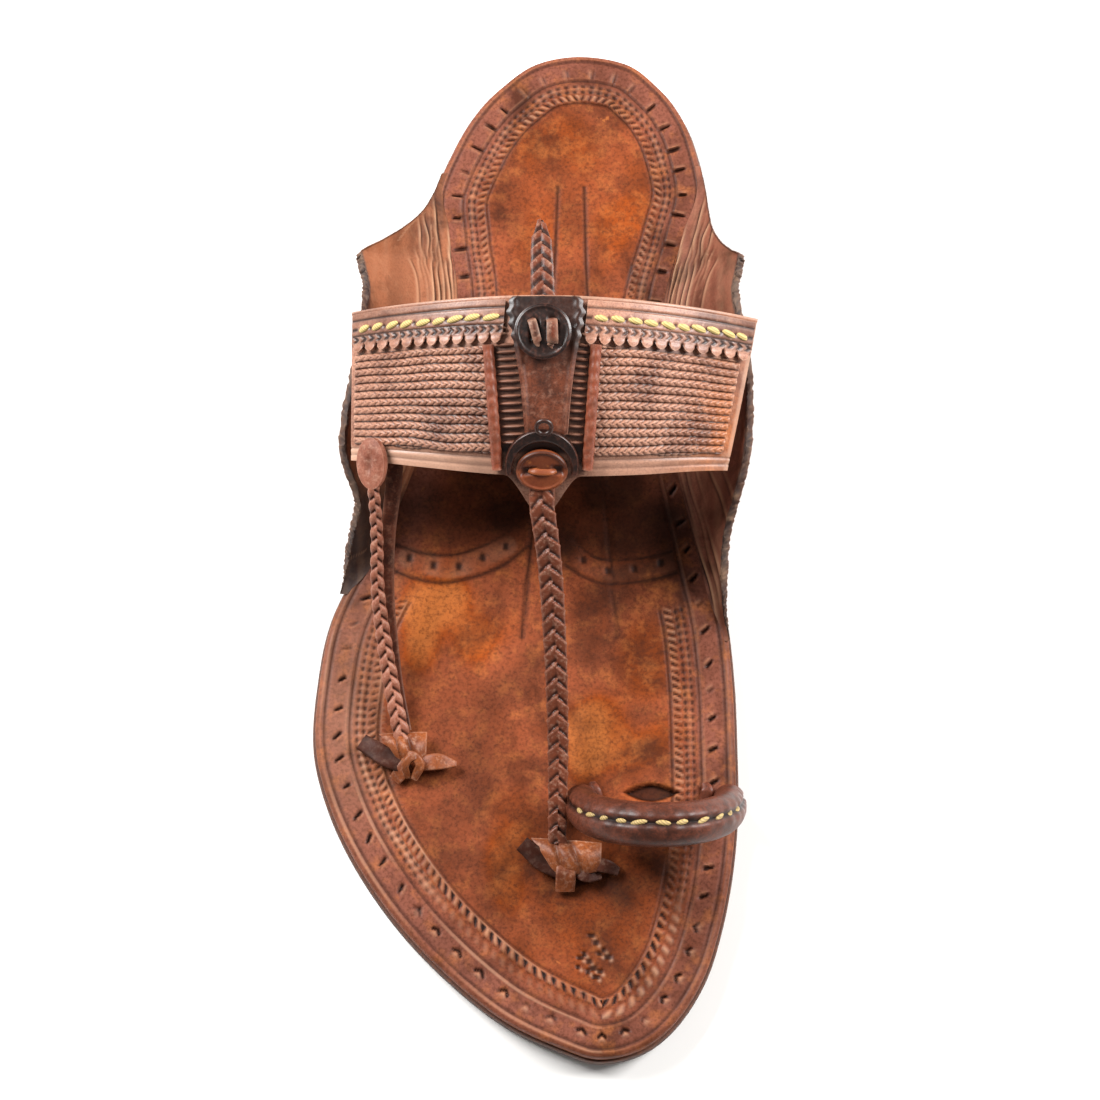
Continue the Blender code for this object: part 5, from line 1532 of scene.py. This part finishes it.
class DressButtons(bpy.types.Operator):
    """Make the leather buttons, the half-moon and the small loop"""
    bl_idname = "chappal.buttons"
    bl_label = "Buttons and half-moon"

    def execute(self, context):
        dyes = context.scene.chappal_leathers
        black = leather(
            "blackened_leather", darker(dyes.dark_brown, 0.3), dyes.dark_brown, dyes.plait_brown,
            cloud=7.0, grain=0.5, roughness=0.34, coat=0.4)
        brown = leather(
            "button_leather", dyes.dark_brown, dyes.button_brown, dyes.band_light,
            cloud=7.0, grain=0.5, roughness=0.42, shine=0.25, coat=0.12)
        tan = leather(
            "front_button_leather", dyes.button_brown, dyes.button_tan, dyes.insole_light,
            cloud=9.0, grain=0.5, roughness=0.42, shine=0.25, coat=0.12, flecks=0.1)
        rose = leather(
            "side_button_leather", dyes.button_brown, dyes.button_rose, dyes.band_light,
            cloud=7.0, grain=0.5, roughness=0.4, coat=0.1)
        hand_over(button_shape("rear_button", self.two_slits), black, "dark_leather", "rear_button")
        hand_over(self.rear_thongs(), brown, "dark_leather")
        front = button_shape("front_button", self.cross_slit)
        bridge = sweep(
            "thong", on_button("front_button", FRONT_BRIDGE), (1.0,) * 4, (THONG_HALF_HEIGHT,) * 4,
            stations=32, sides=12, square=2.4)
        hand_over(join([front, bridge], "front_button_laced"), tan, "button_leather", "front_button")
        hand_over(button_shape("side_button", self.creased), rose, "button_leather", "side_button")
        hand_over(self.half_moon(), black, "dark_leather", "crescent")
        hand_over(self.loop(), black, "dark_leather", "ring_loop")
        return {"FINISHED"}

    @staticmethod
    def two_slits(a, b):
        """Height and darkness of the rear button's face, at shares of its half sizes."""
        left = bell(a + 0.30, 0.16, 4) * bell(b + 0.02, 0.42, 4)
        right = bell(a - 0.34, 0.18, 4) * bell(b - 0.05, 0.45, 4)
        cut = np.maximum(left, right)
        return -1.1 * cut + 0.1 * soft_noise(3 * a, 3 * b, 2), cut

    @staticmethod
    def cross_slit(a, b):
        """Height and darkness of the front button's face, with painted shadow in the two pockets beside the
        bridge and painted shade over its upper half.
        """
        left = bell(a + 0.52, 0.30, 4) * bell(b - 0.05 - 0.1 * a, 0.20, 4)
        right = bell(a - 0.62, 0.26, 4) * bell(b - 0.05, 0.22, 4)
        cut = np.maximum(left, right)
        # The upper half is painted darker as shade, and the lower half is left lit
        upper = 0.52 * smooth_step((b + 0.05) / 0.2)
        upper = upper + 0.25 * smooth_step((np.hypot(a, b + 0.15) - 0.7) / 0.3)
        return -0.9 * cut + 0.35 * (1 - a * a - b * b), np.maximum(cut, upper)

    @staticmethod
    def creased(a, b):
        """Height and darkness of the side button's face."""
        crease = bell(a - 0.15 * b, 0.22) * smooth_step((0.6 - np.abs(b)) / 0.5)
        return -0.5 * crease + 0.5 * (1 - a * a - b * b), 0.25 * crease

    def rear_thongs(self):
        """Two short thongs laced through the slits of the rear button."""
        thongs = []
        for x, half_width, tall, lean in REAR_THONGS:
            path = on_button("rear_button", (
                (x + lean, -2.9, -0.8), (x + 0.6 * lean, -2.0, tall), (x - 0.5 * lean, 1.7, tall),
                (x - lean, 2.7, -0.8)))
            thongs.append(sweep(
                "thong", path, (half_width,) * 4, (THONG_HALF_HEIGHT,) * 4,
                stations=24, sides=12, square=3.0))
        return join(thongs, "rear_button_thongs")

    def half_moon(self):
        """A thick crescent round the back of the front button, with a raised lip along its outer edge."""
        centre = BUTTONS["front_button"][:2]

        def place(u, v):
            angle = np.radians(-8 + 196 * u)
            swell = 0.45 + 0.55 * np.sin(np.clip(angle, 0.0, math.pi))
            around = 2 * math.pi * v
            wide, high = np.cos(around), np.sin(around)
            square = (np.abs(wide) ** 3 + np.abs(high) ** 3) ** (-1 / 3)
            radius = MOON_INNER_RADIUS + MOON_WIDTH * swell * 0.5 * (1 + wide * square)
            lip = 0.5 * bell(wide - 0.72, 0.2) * (high > 0)
            height = ON_BAND + 1.3 + (1.25 + lip) * high * square * (0.7 + 0.3 * swell)
            return disc_place(centre, radius * np.cos(angle), radius * np.sin(angle), height), {}

        moon = stretched_grid("half_moon", 70, 28, place)
        close(moon)
        return moon

    def loop(self):
        """A small upright teardrop loop behind the half-moon."""
        point, across, back, out = instep_frame(LOOP_X, LOOP_Y)

        def place(u, v):
            turn, around = 2 * math.pi * u, 2 * math.pi * v
            reach = LOOP_RADIUS * (1 + 0.22 * np.sin(turn))
            rise = unit(back + 0.25 * out)
            ray = np.cos(turn)[:, None] * across + np.sin(turn)[:, None] * rise
            face = np.cross(across, rise)
            tube = LOOP_TUBE * (np.cos(around)[:, None] * ray + np.sin(around)[:, None] * face)
            return point + LOOP_LIFT * out + reach[:, None] * ray + tube, {}

        ring = stretched_grid("thong_loop", 60, 16, place)
        close(ring)
        return ring


class DressPlaits(bpy.types.Operator):
    """Make the toe, side and tail plaits and the flat side strip"""
    bl_idname = "chappal.plaits"
    bl_label = "Plaits"

    def execute(self, context):
        dyes = context.scene.chappal_leathers
        hide = leather(
            "plaited_thong_leather", dyes.trim_red, dyes.plait_brown, dyes.band_light,
            cloud=6.0, grain=0.5, roughness=0.40, shine=0.25, coat=0.08, wear=0.35)
        lit = leather(
            "side_plait_leather", dyes.plait_brown, dyes.button_rose, dyes.band_light,
            cloud=6.0, grain=0.5, roughness=0.42, shine=0.25, coat=0.05, wear=0.35)
        # The side strip's leather is painted dark, as shade on its face, which is turned into shadow
        brown = leather(
            "side_strip_leather_painted_shade", dyes.dark_brown, dyes.trim_red, dyes.band_tan,
            cloud=7.0, grain=0.5, roughness=0.5, shine=0.2, coat=0.0)
        y = BUTTONS["front_button"][1]
        route = [lift(-2.1, y - 3.6, 1.5), lift(-2.1, y - 5.6, 2.5), lift(-2.0, y - 8.4, 3.7),
                 (-0.1, -14.0, 38.4), (1.3, -33.0, 28.8), (2.1, -56.0, 18.6), (1.9, -83.0, 12.4)]
        toe = self.plait("toe_plait_braid", route, TOE_PLAIT, (1.12, 1.04, 0.94, 0.78))
        hand_over(toe, hide, "plait_leather", "toe_plait")
        route = [(-2.4, 74.2, 58.6), (-2.1, 61.0, 61.8), lift(-1.8, 50.0, -3.3), lift(-1.8, 43.0, -3.3)]
        tail = self.plait("tail_plait_braid", route, TAIL_PLAIT, (0.20, 0.80, 0.95, 1.0, 1.05, 1.1), gap=0.50)
        hand_over(tail, hide, "plait_leather", "tail_plait")
        route = [lift(-44.6, 7.6, 4.0), (-45.6, -4.0, 33.0), (-45.4, -19.0, 24.2), (-42.6, -38.0, 15.6),
                 (-39.0, -55.5, 11.4)]
        side = self.plait("side_plait_braid", route, SIDE_PLAIT, (0.68, 0.78, 0.95, 1.05),
                          lean=1.1, stagger=0.25, lap=0.35, gap=0.72)
        hand_over(side, lit, "plait_leather", "side_plait")
        route = [lift(-42.0, 17.0, -2.4), lift(-42.0, 8.0, -2.4), (-42.6, -4.0, 31.4), (-42.6, -19.0, 22.8),
                 (-40.2, -38.0, 14.4), (-37.4, -52.0, 10.8)]
        strip = sweep("side_strip_tape", route, (2.2, 2.1, 1.7, 1.3, 0.9, 0.6), (0.6,) * 6,
                      stations=90, sides=20, square=5.0)
        hand_over(strip, brown, "dark_leather", "side_strip")
        return {"FINISHED"}

    def plait(self, name, route, plait, taper, lean=1.0, stagger=0.12, lap=1.0, gap=0.68):
        """A braid of overlapping folds that point to the heel, each lapped over the one behind it, with a
        painted shadow line at the foot of each lapped edge.
        """
        width, thickness, chevron = plait
        count = max(3, round(path_length(route) / chevron))
        pitch = path_length(route) / count

        def folds(run, aside, angle):
            bow = np.sqrt(aside ** 2 + (0.10 * width) ** 2) - 0.10 * width
            phase = (run - lean * bow) / pitch + np.where(aside > 0, stagger, -stagger)
            part = phase % 1.0
            tooth = lap * smooth_step(part / 0.16) * (1 - part) ** 0.9
            tooth = tooth + (1 - lap) * np.sin(math.pi * part) ** 0.7
            facing = smooth_step((np.sin(angle) - 0.05) / 0.55)
            # Painted shadow line where each fold's edge laps over the next
            dark = np.maximum(smooth_step((part - gap) / 0.22), smooth_step((0.05 - part) / 0.05))
            return facing * 0.34 * thickness * (tooth - 0.35), 0.95 * facing * dark

        half_widths = [0.5 * width * share for share in taper]
        half_heights = [0.42 * thickness * share for share in taper]
        return sweep(
            name, route, half_widths, half_heights, stations=16 * count, sides=44, square=2.5, relief=folds)


class DressKnots(bpy.types.Operator):
    """Make the folded knots at the feet of the plaits"""
    bl_idname = "chappal.knots"
    bl_label = "Knots"

    def execute(self, context):
        dyes = context.scene.chappal_leathers
        hide = leather(
            "folded_knot_leather", dyes.trim_red, dyes.button_brown, dyes.band_light, centre=dyes.knot_tan,
            cloud=6.0, grain=0.5, roughness=0.44, shine=0.2, coat=0.03, wear=0.3)
        for name, (centre, corners, straps) in KNOTS.items():
            hand_over(self.knot(name + "_fold", centre, corners, straps), hide, "plait_leather", name)
        return {"FINISHED"}

    def knot(self, name, centre, corners, straps):
        """A draped strap end with the straps that are wound round it."""
        floor = float(insole_top(along_of(centre[1])))
        upper_left, upper_right, lower_left, lower_right = np.array(corners)

        def drape(u, v):
            upper = upper_left + (upper_right - upper_left) * u[:, None]
            lower = lower_left + (lower_right - lower_left) * u[:, None]
            plan = lower + (upper - lower) * v[:, None] + np.array(centre)
            plan[:, 1] -= 0.9 * np.sin(math.pi * u) * (1 - v)
            valley = bell(u - 0.62 + 0.10 * v, 0.07)
            pleat = bell(u - 0.20 - 0.12 * v, 0.05)
            arch = np.sin(math.pi * (0.10 + 0.74 * (1 - v))) ** 0.8
            arch = arch * np.sin(math.pi * (0.08 + 0.84 * u)) ** 0.5
            height = 1.6 + arch * (4.6 - 1.2 * valley - 0.7 * pleat) + 0.12 * soft_noise(7 * u, 5 * v, 17)
            # The valley and the pleat of the drape are painted dark as shade in its folds
            return np.column_stack((plan, floor + height)), {
                "wax_and_shade": np.clip(0.45 * valley + 0.35 * pleat, 0.0, 1.0), "burnish": np.ones(len(u))}

        end = stretched_grid(name + "_drape", 60, 40, drape)
        wall(end, 1.2, 0.3)
        parts = [end]
        for points, widths, thick, shade, lit in straps:
            def creases(run, aside, angle, shade=shade):
                # The hollows of the creases are painted a little darker as shade
                fold = np.sin(0.9 * aside + 0.7 * run) + 0.7 * np.sin(0.8 * run - 0.6 * aside + 1.0)
                return 0.07 * fold, np.minimum(1.0, shade + 0.12 * smooth_step(-fold))

            path = [(centre[0] + x, centre[1] + y, floor + z) for x, y, z in points]
            strap = sweep(
                name + "_strap", path, widths, (thick,) * 3,
                stations=60, sides=36, square=5.0, relief=creases)
            mark(strap, "burnish", np.full(len(strap.data.vertices), lit))
            parts.append(strap)
        return join(parts, name)


class DressToeRing(bpy.types.Operator):
    """Make the rolled and stitched toe ring"""
    bl_idname = "chappal.toe_ring"
    bl_label = "Toe ring"

    def execute(self, context):
        dyes = context.scene.chappal_leathers
        hide = leather(
            "rolled_ring_leather", dyes.dark_brown, dyes.trim_red, dyes.piping_red,
            cloud=9.0, grain=0.6, roughness=0.41, shine=0.28, coat=0.08)
        x, y = RING_CENTRE
        floor = float(insole_top(along_of(y))) + 0.1
        lean = math.radians(RING_LEAN)
        turns = np.linspace(0.0, math.pi, 15)
        rise = RING_HEIGHT * np.sin(turns) ** 0.8
        path = np.stack((x - RING_HALF_SPAN * np.cos(turns), y - rise * math.tan(lean), floor + rise), axis=1)
        level = np.array((0.0, math.cos(lean), math.sin(lean)))
        up = unit(np.cross(unit(np.gradient(path, axis=0)), level) + 0.35 * level)

        def seam(run, aside, angle):
            dip = bell(angle - math.pi / 2, 0.16)
            wrinkle = 0.12 * np.sin(1.6 * run + 2.0 * np.sin(angle)) * smooth_step(-np.cos(2 * angle))
            return wrinkle - 0.85 * dip, 0.9 * dip

        parts = [sweep("toe_ring_roll", path, RING_HALF_WIDTHS, (RING_TUBE,) * 4,
                       stations=150, sides=60, up=up, relief=seam)]
        for points in RING_TAILS:
            route = [(px, py, floor + pz) for px, py, pz in points]
            parts.append(sweep("ring_tail", route, (1.5, 1.7, 0.9), (0.6,) * 3,
                               stations=24, sides=16, square=3.0))
        hand_over(join(parts, "toe_ring_roll"), hide, "trim_leather", "toe_ring")
        thread = twisted_thread("waxed_ring_thread", dyes.ring_thread)
        hand_over(self.stitches(path, up), thread, "trim_leather")
        return {"FINISHED"}

    def stitches(self, path, up):
        """Loose, uneven stitches along the seam on top of the roll."""
        stations = 200
        line = resample(path, stations)
        outward = unit(resample(up, stations))
        way = unit(np.gradient(line, axis=0))
        dice = np.random.default_rng(9)
        places = []
        for share in np.linspace(RING_STITCH_START, RING_STITCH_END, RING_STITCHES):
            i = int(stations * (share + dice.uniform(-0.006, 0.006)))
            side = np.cross(outward[i], way[i])
            slant = unit(way[i] + dice.uniform(-0.35, 0.35) * side)
            axes = (slant * dice.uniform(1.5, 2.3), np.cross(outward[i], slant) * 0.75, outward[i] * 0.6)
            places.append((line[i] + RING_STITCH_LIFT * outward[i], axes))
        return scatter("toe_ring_stitches", lobe_mesh(10, 8), places)


class SetStage(bpy.types.Operator):
    """Add the pale floor, the soft boxes and the camera"""
    bl_idname = "chappal.stage"
    bl_label = "Stage"

    def execute(self, context):
        stage, dyes = context.scene.chappal_stage, context.scene.chappal_leathers
        bpy.ops.object.select_all(action="DESELECT")
        bpy.ops.mesh.primitive_grid_add(x_subdivisions=8, y_subdivisions=8, size=FLOOR_SIZE)
        floor = context.object
        floor.name = "floor"
        paint = bpy.data.materials.new("matt_white_board")
        paint.use_nodes = True
        shader = paint.node_tree.nodes["Principled BSDF"]
        shader.inputs["Base Color"].default_value = dyes.floor
        shader.inputs["Roughness"].default_value = 0.9
        floor.data.materials.append(paint)

        target = (np.array(CAMERA_TARGET) + (AXIS_X, 0.0, 0.0)) * MM
        back = np.array((0.0, -math.sin(stage.tilt), math.cos(stage.tilt)))
        bpy.ops.object.camera_add(location=target + stage.distance * back, rotation=(stage.tilt, 0.0, 0.0))
        camera = context.object
        camera.name = "photo_camera"
        camera.data.lens = CAMERA_LENS
        camera.data.sensor_width = CAMERA_SENSOR
        context.scene.camera = camera
        for name, place, power in (
                ("left_box", LEFT_BOX, stage.key_power), ("right_box", RIGHT_BOX, stage.fill_power)):
            turn = (-Vector(place)).to_track_quat("-Z", "Y").to_euler()
            bpy.ops.object.light_add(type="AREA", location=place, rotation=turn)
            lamp = context.object
            lamp.name = name
            lamp.data.energy = power
            lamp.data.size = BOX_SIZE
        world = bpy.data.worlds.new("studio")
        world.use_nodes = True
        sky = world.node_tree.nodes["Background"]
        sky.inputs["Color"].default_value = (1.0, 1.0, 1.0, 1.0)
        sky.inputs["Strength"].default_value = SKY_STRENGTH
        context.scene.world = world
        context.scene.view_settings.view_transform = "Standard"
        return {"FINISHED"}


OPERATORS = (
    DressSole, DressInsole, DressEars, DressBand, DressCollars, DressTab, DressButtons, DressPlaits,
    DressKnots, DressToeRing, SetStage,
)


class ChappalPanel(bpy.types.Panel):
    """Lists the pieces of the chappal"""
    bl_idname = "VIEW3D_PT_chappal"
    bl_label = "Chappal"
    bl_space_type = "VIEW_3D"
    bl_region_type = "UI"
    bl_category = "Chappal"

    def draw(self, context):
        for operator in OPERATORS:
            self.layout.operator(operator.bl_idname)


GROUPS = {
    "chappal_leathers": ChappalLeathers,
    "chappal_sizes": ChappalSizes,
    "chappal_stage": ChappalStage,
}


def register():
    for name, group in GROUPS.items():
        bpy.utils.register_class(group)
        setattr(bpy.types.Scene, name, PointerProperty(type=group))
    for operator in OPERATORS:
        bpy.utils.register_class(operator)
    bpy.utils.register_class(ChappalPanel)


def unregister():
    bpy.utils.unregister_class(ChappalPanel)
    for operator in reversed(OPERATORS):
        bpy.utils.unregister_class(operator)
    for name, group in GROUPS.items():
        delattr(bpy.types.Scene, name)
        bpy.utils.unregister_class(group)


def main():
    register()
    for operator in OPERATORS:
        area, name = operator.bl_idname.split(".")
        getattr(getattr(bpy.ops, area), name)()


if __name__ == "__main__":
    main()
